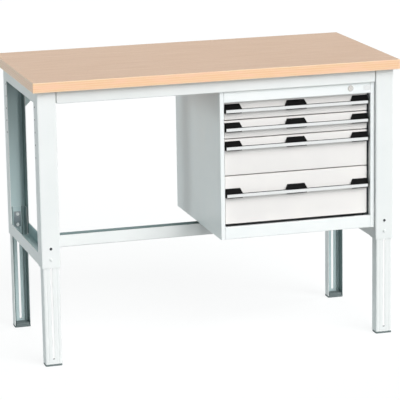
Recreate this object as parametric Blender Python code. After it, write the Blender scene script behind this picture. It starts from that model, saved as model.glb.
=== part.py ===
"""Height-adjustable workbench with a hanging four-drawer cabinet.

Everything is in metres. X runs along the bench, -Y is the side the user stands at and +Z is up.
The origin is on the floor, under the middle of the worktop.
"""

import math

import bpy
import bmesh
from mathutils import Vector

# Driving dimensions of the bench
BENCH_WIDTH = 1.500
BENCH_DEPTH = 0.750
BENCH_HEIGHT = 1.140
TOP_THICKNESS = 0.040
TOP_EDGE_ROUND = 0.0015
GAP = 0.0003
CUT_PAST = 0.008
FUSE_SINK = 0.0005

# Upper legs, folded from sheet with the closed face outwards
LEG_INSET_SIDE = 0.0185
LEG_INSET_FRONT = 0.023
FRAME_DEPTH = 0.635
LEG_WIDTH = 0.076
LEG_DEPTH = 0.062
LEG_SHEET = 0.0025
LEG_BEND = 0.0035
UPPER_LEG_LENGTH = 0.700
SIDE_HOLE_RADIUS = 0.004
SIDE_HOLE_FIRST = 0.066
SIDE_HOLE_PITCH = 0.050
SIDE_HOLE_COUNT = 5
SIDE_HOLE_FROM_EDGE = 0.015

# Inner legs, which slide inside the upper ones
INNER_WIDTH = 0.067
INNER_DEPTH = 0.046
INNER_SHEET = 0.0025
INNER_OVERLAP = 0.110
INNER_PLAY = 0.0005
GROOVE_OFFSET = 0.020
GROOVE_HALF = 0.003
GROOVE_DEEP = 0.0012
SLOT_WIDTH = 0.009
SLOT_FROM_FLOOR = 0.027
SLOT_FROM_TOP = 0.020
FOOT_HEIGHT = 0.008
FOOT_PLUG = 0.010
FOOT_PLUG_SHORT = 0.001

# Clamps that hold the inner legs
CLAMP_LOW = 0.034
CLAMP_HIGH = 0.078
CLAMP_HOLE_RADIUS = 0.0045
STUD_RADIUS = 0.004
STUD_HEAD_RADIUS = 0.0075
STUD_HEAD_HEIGHT = 0.0038
NUT_SIDES = 6
CLAMP_PLATE_WIDTH = 0.028
CLAMP_PLATE_THICK = 0.004
CLAMP_PLATE_MARGIN = 0.010
NUT_RADIUS = 0.0075
NUT_HEIGHT = 0.0065

# Rails of the frame
RAIL_HEIGHT = 0.050
RAIL_SHEET = 0.0025
RAIL_END_GAP = 0.0008
CROSS_RAIL_DEPTH = 0.040
CROSS_RAIL_SETBACK = 0.002
GUSSET_SIZE = 0.130
GUSSET_OVERLAP = 0.012
GUSSET_TOE = 0.004
GUSSET_SET_IN = 0.0004
STRETCHER_DEPTH = 0.048
STRETCHER_SETBACK = 0.312

# Cabinet case
CABINET_WIDTH = 0.650
CABINET_DEPTH = 0.640
CABINET_HEIGHT = 0.5985
CABINET_SETBACK = 0.036
CABINET_SIDE_GAP = 0.0005
CABINET_TOP_GAP = 0.001
CASE_SHEET = 0.0015
CASE_BEND = 0.002
POST_WIDTH = 0.018
POST_RETURN = 0.020
REAR_FLANGE = 0.020
FASCIA_HEIGHT = 0.044
FASCIA_RETURN = 0.020
PLINTH_HEIGHT = 0.0495
PLINTH_RETURN = 0.015
PLINTH_LAP = 0.014
FLOOR_LIFT = 0.0003
TOP_FLANGE = 0.018

# Drawers
DRAWER_PITCHES = (0.075, 0.075, 0.150, 0.199)
BOX_HEIGHTS = (0.054, 0.054, 0.120, 0.176)
HANDLE_OFFSETS = (0.027, 0.027, 0.027, 0.0695)
STACK_GAP_TOP = 0.0025
FRONT_GAP = 0.003
FRONT_SIDE_GAP = 0.007
FRONT_RECESS = 0.022
FRONT_DEPTH = 0.018
FRONT_SHEET = 0.0015
BOX_LIFT = 0.008
BOX_SHEET = 0.0015
BOX_SIDE_GAP = 0.0195
BOX_DEPTH = 0.572

# Telescopic slides
RUNNER_SETBACK = 0.044
RUNNER_PAST_BOX = 0.0017
RUNNER_HEIGHT = 0.030
RUNNER_SHEET = 0.0015
RUNNER_LIFT = 0.006
RUNNER_ROUND = 0.0003
FIXED_RUNNER_OFFSET = 0.0005
FIXED_RUNNER_WIDTH = 0.011
SLIDE_BAR_OFFSET = 0.0045
SLIDE_BAR_WIDTH = 0.013
SLIDE_BAR_SHORT = 0.004
BOX_RUNNER_WIDTH = 0.008
BOX_RUNNER_SINK = 0.0006
BOX_RUNNER_SHORT = 0.004
UPRIGHT_WIDTH = 0.030
UPRIGHT_FROM_START = 0.020
UPRIGHT_FROM_END = 0.040
UPRIGHT_SINK = 0.0002
UPRIGHT_TOP_GAP = 0.006

# Handles
BAR_HEIGHT = 0.014
BAR_PROUD = 0.0215
BAR_LIP = 0.004
BAR_SHELF = 0.003
BAR_BACK = 0.0027
BAR_BACK_DROP = 0.001
BAR_ROUND = 0.0045
BAR_TOP_ROUND = 0.0012
BAR_TOP_DROP = 0.0018
BAR_INNER_DROP = 0.0008
BAR_FILLET = 0.001
END_PLATE = 0.002
END_PLATE_DROP = 0.0015
END_PLATE_PROUD = 0.0003
END_PLATE_RISE = 0.006
GRIP_RISE = 0.020
GRIP_TOP_DEPTH = 0.0037
GRIP_TAPER = 0.007
GRIP_END_WIDTH = 0.070
GRIP_MIDDLE_WIDTH = 0.088
GRIP_STEM_SIDE = 0.0006
GRIP_STEM_INSET = 0.003
GRIP_SETBACK = 0.001
GRIP_LEDGE = 0.0001
GRIP_EDGE = 0.0015
GRIP_END_GAP = 0.0005
GRIP_MIDDLE_SHIFT = 0.003
STRIP_THICK = 0.0015
STRIP_WIDTH = 0.008

# Lock
LOCK_FROM_RIGHT = 0.102
LOCK_FROM_TOP = 0.020
LOCK_BODY_RADIUS = 0.0083
LOCK_HOLE_RADIUS = 0.0087
LOCK_HEAD_RADIUS = 0.0098
LOCK_HEAD_PROUD = 0.0022
LOCK_DEPTH = 0.0245
KEY_SLOT_WIDTH = 0.0016
KEY_SLOT_HEIGHT = 0.008
KEY_SLOT_DEEP = 0.003
CAM_REACH = 0.006
CAM_ROUND = 0.003
CAM_THICK = 0.0025
CAM_PLAY = 0.0017
LOCK_BAR_THICK = 0.0025
LOCK_BAR_WIDTH = 0.012
LOCK_BAR_ARM = 0.008
LOCK_BAR_SIDE_GAP = 0.0005
LOCK_BAR_SETBACK = 0.002
LOCK_BAR_TAIL = 0.010
LOCK_ARM_REACH = 0.008
LOCK_ARM_THICK = 0.0025
LOCK_ARM_DROP = 0.0002
LOCK_TOOTH = 0.003
LOCK_TOOTH_HEIGHT = 0.008
LOCK_TOOTH_DEPTH = 0.0045
LOCK_LUG = 0.0034
LOCK_LUG_DEPTH = 0.004
LOCK_LUG_FROM_TOP = 0.014
LOCK_LUG_SETBACK = 0.008
LOCK_CLEAR = 0.0015

ROUND_STEPS = 16
SIDE_HOLE_STEPS = 14
LOCK_STEPS = 28
CAM_STEPS = 12
BEND_STEPS = 2


def clear_scene():
    """Remove everything that the start-up file holds."""
    for item in list(bpy.data.objects):
        bpy.data.objects.remove(item, do_unlink=True)
    for mesh in list(bpy.data.meshes):
        bpy.data.meshes.remove(mesh)
    for mat in list(bpy.data.materials):
        bpy.data.materials.remove(mat)


def make_material(name, color, metallic, roughness):
    """One Principled material for one sub-part."""
    mat = bpy.data.materials.new(name)
    mat.use_nodes = True
    shader = mat.node_tree.nodes["Principled BSDF"]
    shader.inputs["Base Color"].default_value = (color[0], color[1], color[2], 1.0)
    shader.inputs["Metallic"].default_value = metallic
    shader.inputs["Roughness"].default_value = roughness
    mat.diffuse_color = (color[0], color[1], color[2], 1.0)
    return mat


def sheet_outline(path, thickness, radius):
    """Closed outline of a folded sheet whose middle line follows the path, with round bends."""
    points = [Vector(p) for p in path]
    line = []
    last = len(points) - 1
    for index, point in enumerate(points):
        if index == 0 or index == last:
            other = points[1] if index == 0 else points[last - 1]
            way = (other - point) if index == 0 else (point - other)
            way.normalize()
            line.append((point, Vector((-way.y, way.x))))
            continue
        way_in = (point - points[index - 1]).normalized()
        way_out = (points[index + 1] - point).normalized()
        side = 1.0 if way_in.x * way_out.y - way_in.y * way_out.x > 0.0 else -1.0
        turn = math.acos(max(-1.0, min(1.0, way_in.dot(way_out))))
        start = math.atan2(way_in.y, way_in.x)
        begin = point - way_in * radius * math.tan(turn / 2.0)
        centre = begin + Vector((-way_in.y, way_in.x)) * side * radius
        for step in range(BEND_STEPS + 1):
            angle = start + side * turn * step / BEND_STEPS
            normal = Vector((-math.sin(angle), math.cos(angle)))
            line.append((centre - normal * side * radius, normal))
    left = [p + n * thickness / 2.0 for p, n in line]
    right = [p - n * thickness / 2.0 for p, n in line]
    return [tuple(p) for p in left + right[::-1]]


def circle(cx, cy, radius, steps=ROUND_STEPS):
    """Points of a circle."""
    return [(cx + radius * math.cos(2.0 * math.pi * k / steps),
             cy + radius * math.sin(2.0 * math.pi * k / steps)) for k in range(steps)]


def stadium(cx, low, high, width):
    """Outline of an upright slot with round ends."""
    radius = width / 2.0
    half = ROUND_STEPS // 2
    turns = [math.pi * k / half for k in range(half + 1)]
    top = [(cx + radius * math.cos(t), high - radius + radius * math.sin(t)) for t in turns]
    bottom = [(cx - radius * math.cos(t), low + radius - radius * math.sin(t)) for t in turns]
    return top + bottom


def to_space(axis, u, v, w):
    """A point of an outline in the plane across the axis, at the place w along it."""
    if axis == "X":
        return (w, u, v)
    if axis == "Y":
        return (u, w, v)
    return (u, v, w)


def prism(outline, axis, low, high):
    """Solid made by carrying a closed outline along an axis."""
    bm = bmesh.new()
    first = [bm.verts.new(to_space(axis, u, v, low)) for u, v in outline]
    second = [bm.verts.new(to_space(axis, u, v, high)) for u, v in outline]
    bm.faces.new(first)
    bm.faces.new(second)
    count = len(outline)
    for k in range(count):
        nxt = (k + 1) % count
        bm.faces.new((first[k], first[nxt], second[nxt], second[k]))
    bmesh.ops.recalc_face_normals(bm, faces=bm.faces[:])
    return bm


def block(x0, x1, y0, y1, z0, z1):
    """Plain box."""
    return prism([(x0, y0), (x1, y0), (x1, y1), (x0, y1)], "Z", z0, z1)


def loft(sections):
    """Solid through level rectangles, each given as x0, x1, y0, y1, z."""
    bm = bmesh.new()
    rings = []
    for x0, x1, y0, y1, z in sections:
        rings.append([bm.verts.new((x0, y0, z)), bm.verts.new((x1, y0, z)),
                      bm.verts.new((x1, y1, z)), bm.verts.new((x0, y1, z))])
    bm.faces.new(rings[0])
    bm.faces.new(rings[-1])
    for lower, upper in zip(rings, rings[1:]):
        for k in range(4):
            nxt = (k + 1) % 4
            bm.faces.new((lower[k], lower[nxt], upper[nxt], upper[k]))
    bmesh.ops.recalc_face_normals(bm, faces=bm.faces[:])
    return bm


def pan(x0, x1, y0, y1, z0, z1, wall, opening):
    """Box with walls of even thickness and one open side, the top or the back."""
    bm = bmesh.new()
    if opening == "top":
        inner = (x0 + wall, x1 - wall, y0 + wall, y1 - wall, z0 + wall, z1)
    else:
        inner = (x0 + wall, x1 - wall, y0 + wall, y1, z0 + wall, z1 - wall)
    corners = []
    for a0, a1, b0, b1, c0, c1 in ((x0, x1, y0, y1, z0, z1), inner):
        corners.append({(i, j, k): bm.verts.new(((a0, a1)[i], (b0, b1)[j], (c0, c1)[k]))
                        for i in (0, 1) for j in (0, 1) for k in (0, 1)})
    sides = {
        "left": [(0, 0, 0), (0, 1, 0), (0, 1, 1), (0, 0, 1)],
        "right": [(1, 0, 0), (1, 1, 0), (1, 1, 1), (1, 0, 1)],
        "front": [(0, 0, 0), (1, 0, 0), (1, 0, 1), (0, 0, 1)],
        "back": [(0, 1, 0), (1, 1, 0), (1, 1, 1), (0, 1, 1)],
        "bottom": [(0, 0, 0), (1, 0, 0), (1, 1, 0), (0, 1, 0)],
        "top": [(0, 0, 1), (1, 0, 1), (1, 1, 1), (0, 1, 1)],
    }
    for name, ring in sides.items():
        if name == opening:
            for k in range(4):
                nxt = (k + 1) % 4
                bm.faces.new((corners[0][ring[k]], corners[0][ring[nxt]],
                              corners[1][ring[nxt]], corners[1][ring[k]]))
            continue
        for group in corners:
            bm.faces.new([group[key] for key in ring])
    bmesh.ops.recalc_face_normals(bm, faces=bm.faces[:])
    return bm


def merge(solids):
    """Put several solids into one mesh."""
    result = bmesh.new()
    for solid in solids:
        solid.verts.index_update()
        made = [result.verts.new(vert.co) for vert in solid.verts]
        for face in solid.faces:
            result.faces.new([made[vert.index] for vert in face.verts])
        solid.free()
    return result


def add_object(name, bm, mat, origin=(0.0, 0.0, 0.0)):
    """Make an object of a mesh, with its own origin at the given point."""
    mesh = bpy.data.meshes.new(name)
    shift = Vector(origin)
    for vert in bm.verts:
        vert.co -= shift
    bm.to_mesh(mesh)
    bm.free()
    if mat is not None:
        mesh.materials.append(mat)
        mesh.shade_smooth()
        mesh.set_sharp_from_angle(angle=math.radians(32.0))
    item = bpy.data.objects.new(name, mesh)
    item.location = shift
    bpy.context.scene.collection.objects.link(item)
    return item


def boolean(item, solids, operation):
    """Cut solids out of an object, or join them to it."""
    tool = add_object(item.name + "_" + operation.lower(), merge(solids), None)
    tool.hide_render = True
    tool.display_type = "WIRE"
    change = item.modifiers.new(operation.lower(), "BOOLEAN")
    change.operation = operation
    change.solver = "EXACT"
    change.use_self = False
    change.object = tool
    return item


def across(place, reach=CUT_PAST):
    """Both ends of a cutter that passes through a sheet at the given place."""
    return place - reach, place + reach


def ordered(first, second):
    """Two places, the lower one first."""
    return min(first, second), max(first, second)


def cut(item, solids):
    """Cut solids out of an object."""
    return boolean(item, solids, "DIFFERENCE")


def fuse(item, solids):
    """Join solids to an object, one after another."""
    for number, solid in enumerate(solids):
        tool = add_object(item.name + "_union_" + str(number), solid, None)
        tool.hide_render = True
        tool.display_type = "WIRE"
        change = item.modifiers.new("union_" + str(number), "BOOLEAN")
        change.operation = "UNION"
        change.solver = "EXACT"
        change.object = tool
    return item


clear_scene()

# Places worked out from the driving dimensions
LEFT = -BENCH_WIDTH / 2.0
RIGHT = BENCH_WIDTH / 2.0
FRONT = -BENCH_DEPTH / 2.0
BACK = BENCH_DEPTH / 2.0
TOP_UNDER = BENCH_HEIGHT - TOP_THICKNESS
LEG_LOW = TOP_UNDER - UPPER_LEG_LENGTH
LEG_FRONT = FRONT + LEG_INSET_FRONT
LEG_REAR = LEG_FRONT + FRAME_DEPTH
LEG_X = {"left": LEFT + LEG_INSET_SIDE, "right": RIGHT - LEG_INSET_SIDE - LEG_WIDTH}
INNER_TOP = LEG_LOW + INNER_OVERLAP

STEEL = (0.80, 0.81, 0.80)
CASE_GREY = (0.66, 0.69, 0.70)
FRONT_WHITE = (0.84, 0.82, 0.81)
ZINC = (0.55, 0.56, 0.58)
BLACK = (0.02, 0.02, 0.022)
FOOT_GREY = (0.25, 0.27, 0.28)
ALUMINIUM = (0.83, 0.84, 0.85)
BEECH = (0.72, 0.50, 0.32)

# Worktop
top_mat = make_material("worktop", BEECH, 0.0, 0.45)
top = add_object("worktop", block(LEFT, RIGHT, FRONT, BACK, TOP_UNDER, BENCH_HEIGHT), top_mat)
edge = top.modifiers.new("edge", "BEVEL")
edge.width = TOP_EDGE_ROUND
edge.segments = 2
edge.limit_method = "NONE"


def channel(x0, x1, closed_y, open_y, sheet, bend):
    """Outline of an upright channel that is closed at one side and open at the other."""
    step = sheet / 2.0 if open_y > closed_y else -sheet / 2.0
    path = [(x0 + sheet / 2.0, open_y), (x0 + sheet / 2.0, closed_y + step),
            (x1 - sheet / 2.0, closed_y + step), (x1 - sheet / 2.0, open_y)]
    return sheet_outline(path, sheet, bend)


def inner_channel(x0, x1, closed_y, open_y, sheet, bend):
    """Outline of the inner leg, with two pressed grooves in its closed face."""
    way = 1.0 if open_y > closed_y else -1.0
    flat = closed_y + way * sheet / 2.0
    deep = flat + way * GROOVE_DEEP
    middle = (x0 + x1) / 2.0
    path = [(x0 + sheet / 2.0, open_y), (x0 + sheet / 2.0, flat)]
    for centre in (middle - GROOVE_OFFSET, middle + GROOVE_OFFSET):
        path.append((centre - GROOVE_HALF, flat))
        path.append((centre, deep))
        path.append((centre + GROOVE_HALF, flat))
    path.append((x1 - sheet / 2.0, flat))
    path.append((x1 - sheet / 2.0, open_y))
    return path


def grooved_outline(path, sheet, bend):
    """Folded outline whose end bends are round and whose grooves are sharp."""
    first = sheet_outline(path[:3], sheet, bend)
    last = sheet_outline(path[-3:], sheet, bend)
    half_first = len(first) // 2
    half_last = len(last) // 2
    left = first[:half_first - 1]
    right = first[half_first + 1:][::-1]
    for index in range(2, len(path) - 2):
        before = (Vector(path[index]) - Vector(path[index - 1])).normalized()
        after = (Vector(path[index + 1]) - Vector(path[index])).normalized()
        lean = (Vector((-before.y, before.x)) + Vector((-after.y, after.x))).normalized()
        size = sheet / 2.0 / lean.dot(Vector((-before.y, before.x)))
        left.append(tuple(Vector(path[index]) + lean * size))
        right.append(tuple(Vector(path[index]) - lean * size))
    left += last[1:half_last]
    right += last[half_last:-1][::-1]
    return left + right[::-1]


# Legs, feet and clamps, one set at each corner
leg_mat = make_material("upper_leg", STEEL, 0.0, 0.42)
inner_mat = make_material("inner_leg", STEEL, 0.0, 0.42)
foot_mat = make_material("foot", FOOT_GREY, 0.0, 0.6)
clamp_mat = make_material("clamp", ZINC, 0.9, 0.35)

for row in ("front", "rear"):
    way = 1.0 if row == "front" else -1.0
    face = LEG_FRONT if row == "front" else LEG_REAR
    inner_face = face + way * (LEG_SHEET + INNER_PLAY)
    for side in ("left", "right"):
        place = row + "_" + side
        x0 = LEG_X[side]
        x1 = x0 + LEG_WIDTH
        middle = (x0 + x1) / 2.0
        axis = (middle, inner_face, 0.0)
        outline = channel(x0, x1, face, face + way * LEG_DEPTH, LEG_SHEET, LEG_BEND)
        leg = add_object("upper_leg_" + place, prism(outline, "Z", LEG_LOW, TOP_UNDER - GAP), leg_mat,
                         (middle, face, LEG_LOW))
        holes = []
        for height in (CLAMP_LOW, CLAMP_HIGH):
            ring = circle(middle, LEG_LOW + height, CLAMP_HOLE_RADIUS)
            holes.append(prism(ring, "Y", *across(face)))
        hole_y = face + way * (LEG_DEPTH - SIDE_HOLE_FROM_EDGE)
        outer = x0 if side == "left" else x1
        for number in range(SIDE_HOLE_COUNT):
            height = TOP_UNDER - SIDE_HOLE_FIRST - SIDE_HOLE_PITCH * number
            ring = circle(hole_y, height, SIDE_HOLE_RADIUS, SIDE_HOLE_STEPS)
            holes.append(prism(ring, "X", *across(outer)))
        cut(leg, holes)

        ix0 = middle - INNER_WIDTH / 2.0
        ix1 = middle + INNER_WIDTH / 2.0
        inner_open = inner_face + way * INNER_DEPTH
        path = inner_channel(ix0, ix1, inner_face, inner_open, INNER_SHEET, LEG_BEND)
        outline = grooved_outline(path, INNER_SHEET, LEG_BEND)
        inner = add_object("inner_leg_" + place, prism(outline, "Z", FOOT_HEIGHT + GAP, INNER_TOP),
                           inner_mat, axis)
        slot = stadium(middle, SLOT_FROM_FLOOR, INNER_TOP - SLOT_FROM_TOP, SLOT_WIDTH)
        cut(inner, [prism(slot, "Y", *across(inner_face))])

        low_y, high_y = ordered(inner_face, inner_open)
        foot = add_object("foot_" + place, block(ix0, ix1, low_y, high_y, 0.0, FOOT_HEIGHT), foot_mat, axis)
        plug_low_y, plug_high_y = ordered(inner_face + way * (INNER_SHEET + GROOVE_DEEP + GAP * 2.0),
                                          inner_open - way * FOOT_PLUG_SHORT)
        fuse(foot, [block(ix0 + INNER_SHEET + LEG_BEND, ix1 - INNER_SHEET - LEG_BEND, plug_low_y, plug_high_y,
                          FOOT_HEIGHT - FUSE_SINK, FOOT_HEIGHT + FOOT_PLUG)])

        plate_near = inner_face + way * (INNER_SHEET + GAP)
        plate_far = plate_near + way * CLAMP_PLATE_THICK
        plate_low = LEG_LOW + CLAMP_LOW - CLAMP_PLATE_MARGIN
        plate_high = LEG_LOW + CLAMP_HIGH + CLAMP_PLATE_MARGIN
        plate = block(middle - CLAMP_PLATE_WIDTH / 2.0, middle + CLAMP_PLATE_WIDTH / 2.0,
                      *ordered(plate_near, plate_far), plate_low, plate_high)
        clamp = add_object("clamp_" + place, plate, clamp_mat, (middle, face, LEG_LOW))
        studs = []
        heads = []
        nuts = []
        for height in (CLAMP_LOW, CLAMP_HIGH):
            z = LEG_LOW + height
            head_near = face - way * GAP
            head_far = head_near - way * STUD_HEAD_HEIGHT
            stud = circle(middle, z, STUD_RADIUS)
            stud_ends = ordered(head_near - way * FUSE_SINK, plate_near + way * FUSE_SINK)
            studs.append(prism(stud, "Y", *stud_ends))
            heads.append(prism(circle(middle, z, STUD_HEAD_RADIUS), "Y", *ordered(head_near, head_far)))
            nut = circle(middle, z, NUT_RADIUS, NUT_SIDES)
            nuts.append(prism(nut, "Y", *ordered(plate_far - way * FUSE_SINK, plate_far + way * NUT_HEIGHT)))
        fuse(clamp, [merge(nuts), merge(studs), merge(heads)])

# Rails that join the front and rear legs, one pair at each end
side_rail_mat = make_material("side_rail", STEEL, 0.0, 0.42)
rail_front = LEG_FRONT + LEG_DEPTH + GAP
rail_rear = LEG_REAR - LEG_DEPTH - GAP
half = RAIL_SHEET / 2.0
for side in ("left", "right"):
    x0 = LEG_X[side]
    x1 = x0 + LEG_WIDTH
    high = TOP_UNDER - GAP
    upper_path = [(x0 + half, high - RAIL_HEIGHT), (x0 + half, high - half),
                  (x1 - half, high - half), (x1 - half, high - RAIL_HEIGHT)]
    upper = prism(sheet_outline(upper_path, RAIL_SHEET, LEG_BEND), "Y", rail_front, rail_rear)
    add_object("top_side_rail_" + side, upper, side_rail_mat, ((x0 + x1) / 2.0, rail_front, high))
    lower_path = [(x0 + half, LEG_LOW + RAIL_HEIGHT), (x0 + half, LEG_LOW + half),
                  (x1 - half, LEG_LOW + half), (x1 - half, LEG_LOW + RAIL_HEIGHT)]
    lower = prism(sheet_outline(lower_path, RAIL_SHEET, LEG_BEND), "Y", rail_front, rail_rear)
    add_object("bottom_side_rail_" + side, lower, side_rail_mat, ((x0 + x1) / 2.0, rail_front, LEG_LOW))

# Rails along the bench
cross_mat = make_material("cross_rail", STEEL, 0.0, 0.42)
cross_left = LEG_X["left"] + LEG_WIDTH + RAIL_END_GAP
cross_right = LEG_X["right"] - RAIL_END_GAP
cross_high = TOP_UNDER - GAP
cross_low = cross_high - RAIL_HEIGHT
for row in ("front", "rear"):
    way = 1.0 if row == "front" else -1.0
    face = (LEG_FRONT + CROSS_RAIL_SETBACK) if row == "front" else (LEG_REAR - CROSS_RAIL_SETBACK)
    flat = face + way * half
    tip = face + way * CROSS_RAIL_DEPTH
    path = [(tip, cross_high - half), (flat, cross_high - half),
            (flat, cross_low + half), (tip, cross_low + half)]
    solid = prism(sheet_outline(path, RAIL_SHEET, LEG_BEND), "X", cross_left, cross_right)
    rail = add_object(row + "_top_rail", solid, cross_mat, (0.0, face, cross_low))
    if row == "rear":
        plate = [(cross_left + GAP, cross_low + GUSSET_OVERLAP), (cross_left + GAP, cross_low - GUSSET_SIZE),
                 (cross_left + GUSSET_TOE, cross_low - GUSSET_SIZE), (cross_left + GUSSET_SIZE, cross_low),
                 (cross_left + GUSSET_SIZE, cross_low + GUSSET_OVERLAP)]
        fuse(rail, [prism(plate, "Y", face - RAIL_SHEET + GUSSET_SET_IN, face - GUSSET_SET_IN)])

stretcher_mat = make_material("stretcher", STEEL, 0.0, 0.42)
stretcher_front = LEG_FRONT + STRETCHER_SETBACK
stretcher_rear = stretcher_front + STRETCHER_DEPTH
path = [(stretcher_front + half, LEG_LOW + RAIL_HEIGHT), (stretcher_front + half, LEG_LOW + half),
        (stretcher_rear - half, LEG_LOW + half), (stretcher_rear - half, LEG_LOW + RAIL_HEIGHT)]
add_object("stretcher", prism(sheet_outline(path, RAIL_SHEET, LEG_BEND), "X", cross_left, cross_right),
           stretcher_mat, (0.0, stretcher_front, LEG_LOW))

# Cabinet case, hung under the rails at the right
case_right = LEG_X["right"] - CABINET_SIDE_GAP
case_left = case_right - CABINET_WIDTH
case_front = FRONT + CABINET_SETBACK
case_back = case_front + CABINET_DEPTH
case_high = cross_low - CABINET_TOP_GAP
case_low = case_high - CABINET_HEIGHT
thin = CASE_SHEET / 2.0
open_left = case_left + POST_WIDTH
open_right = case_right - POST_WIDTH
inside_left = case_left + CASE_SHEET
inside_right = case_right - CASE_SHEET
back_face = case_back - CASE_SHEET

case_mat = make_material("cabinet_side", CASE_GREY, 0.0, 0.45)
for side in ("left", "right"):
    way = 1.0 if side == "left" else -1.0
    outer = case_left if side == "left" else case_right
    wall = outer + way * thin
    post = outer + way * (POST_WIDTH - thin)
    path = [(post, case_front + POST_RETURN), (post, case_front + thin), (wall, case_front + thin),
            (wall, case_back - thin), (outer + way * REAR_FLANGE, case_back - thin)]
    solid = prism(sheet_outline(path, CASE_SHEET, CASE_BEND), "Z", case_low, case_high)
    add_object("cabinet_side_" + side, solid, case_mat, (outer, case_front, case_low))

shell_mat = make_material("cabinet_shell", CASE_GREY, 0.0, 0.45)
back_near = back_face - GAP - CASE_SHEET
back_plate = block(inside_left + CASE_BEND, inside_right - CASE_BEND, back_near, back_near + CASE_SHEET,
                   case_low + CASE_SHEET + CASE_BEND, case_high - CASE_SHEET - CASE_BEND)
add_object("cabinet_back", back_plate, shell_mat, (case_left, back_near, case_low))

top_near = case_front + FASCIA_RETURN + GAP
top_far = back_near - GAP
path = [(inside_left + GAP + thin, case_high - TOP_FLANGE), (inside_left + GAP + thin, case_high - thin),
        (inside_right - GAP - thin, case_high - thin), (inside_right - GAP - thin, case_high - TOP_FLANGE)]
add_object("cabinet_top", prism(sheet_outline(path, CASE_SHEET, CASE_BEND), "Y", top_near, top_far),
           shell_mat, (case_left, top_near, case_high))

fascia_mat = make_material("cabinet_front", STEEL, 0.0, 0.42)
plinth_high = case_low + PLINTH_HEIGHT
path = [(case_front + PLINTH_RETURN, plinth_high - thin), (case_front + thin, plinth_high - thin),
        (case_front + thin, case_low + thin), (case_front + POST_RETURN + PLINTH_LAP, case_low + thin)]
solid = prism(sheet_outline(path, CASE_SHEET, CASE_BEND), "X", open_left + GAP, open_right - GAP)
bottom = add_object("cabinet_bottom", solid, fascia_mat, (case_left, case_front, case_low))
fuse(bottom, [block(inside_left + GAP, inside_right - GAP, case_front + POST_RETURN + GAP, top_far,
                    case_low + FLOOR_LIFT, case_low + CASE_SHEET + FLOOR_LIFT)])

fascia_low = case_high - FASCIA_HEIGHT
path = [(case_front + FASCIA_RETURN, case_high - thin), (case_front + thin, case_high - thin),
        (case_front + thin, fascia_low + thin), (case_front + FASCIA_RETURN, fascia_low + thin)]
solid = prism(sheet_outline(path, CASE_SHEET, CASE_BEND), "X", open_left + GAP, open_right - GAP)
fascia = add_object("cabinet_fascia", solid, fascia_mat, (case_left, case_front, fascia_low))
lock_x = case_right - LOCK_FROM_RIGHT
lock_z = case_high - LOCK_FROM_TOP
cut(fascia, [prism(circle(lock_x, lock_z, LOCK_HOLE_RADIUS, LOCK_STEPS), "Y", *across(case_front))])

# Drawers with their fronts, handles and slides
front_left = open_left + FRONT_SIDE_GAP
front_right = open_right - FRONT_SIDE_GAP
front_near = case_front + FRONT_RECESS
front_far = front_near + FRONT_DEPTH
box_left = open_left + BOX_SIDE_GAP
box_right = open_right - BOX_SIDE_GAP
box_near = front_far + GAP
box_far = box_near + BOX_DEPTH
runner_near = case_front + RUNNER_SETBACK
runner_far = box_far + RUNNER_PAST_BOX
stack_high = fascia_low - STACK_GAP_TOP

front_mat = make_material("drawer_front", FRONT_WHITE, 0.0, 0.42)
box_mat = make_material("drawer_box", CASE_GREY, 0.0, 0.45)
slide_mat = make_material("slide", ZINC, 0.9, 0.35)
bar_mat = make_material("handle_bar", ALUMINIUM, 0.9, 0.3)
grip_mat = make_material("handle_grips", BLACK, 0.0, 0.5)


def runner(side, outer, width, low, near, far):
    """Channel of a slide, open towards the middle of the slide, standing on its edge."""
    way = 1.0 if side == "left" else -1.0
    web = RUNNER_SHEET / 2.0
    high = low + RUNNER_HEIGHT - web
    path = [(outer + way * width, low + web), (outer + way * web, low + web),
            (outer + way * web, high), (outer + way * width, high)]
    return prism(sheet_outline(path, RUNNER_SHEET, web + RUNNER_ROUND), "Y", near, far)


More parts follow.
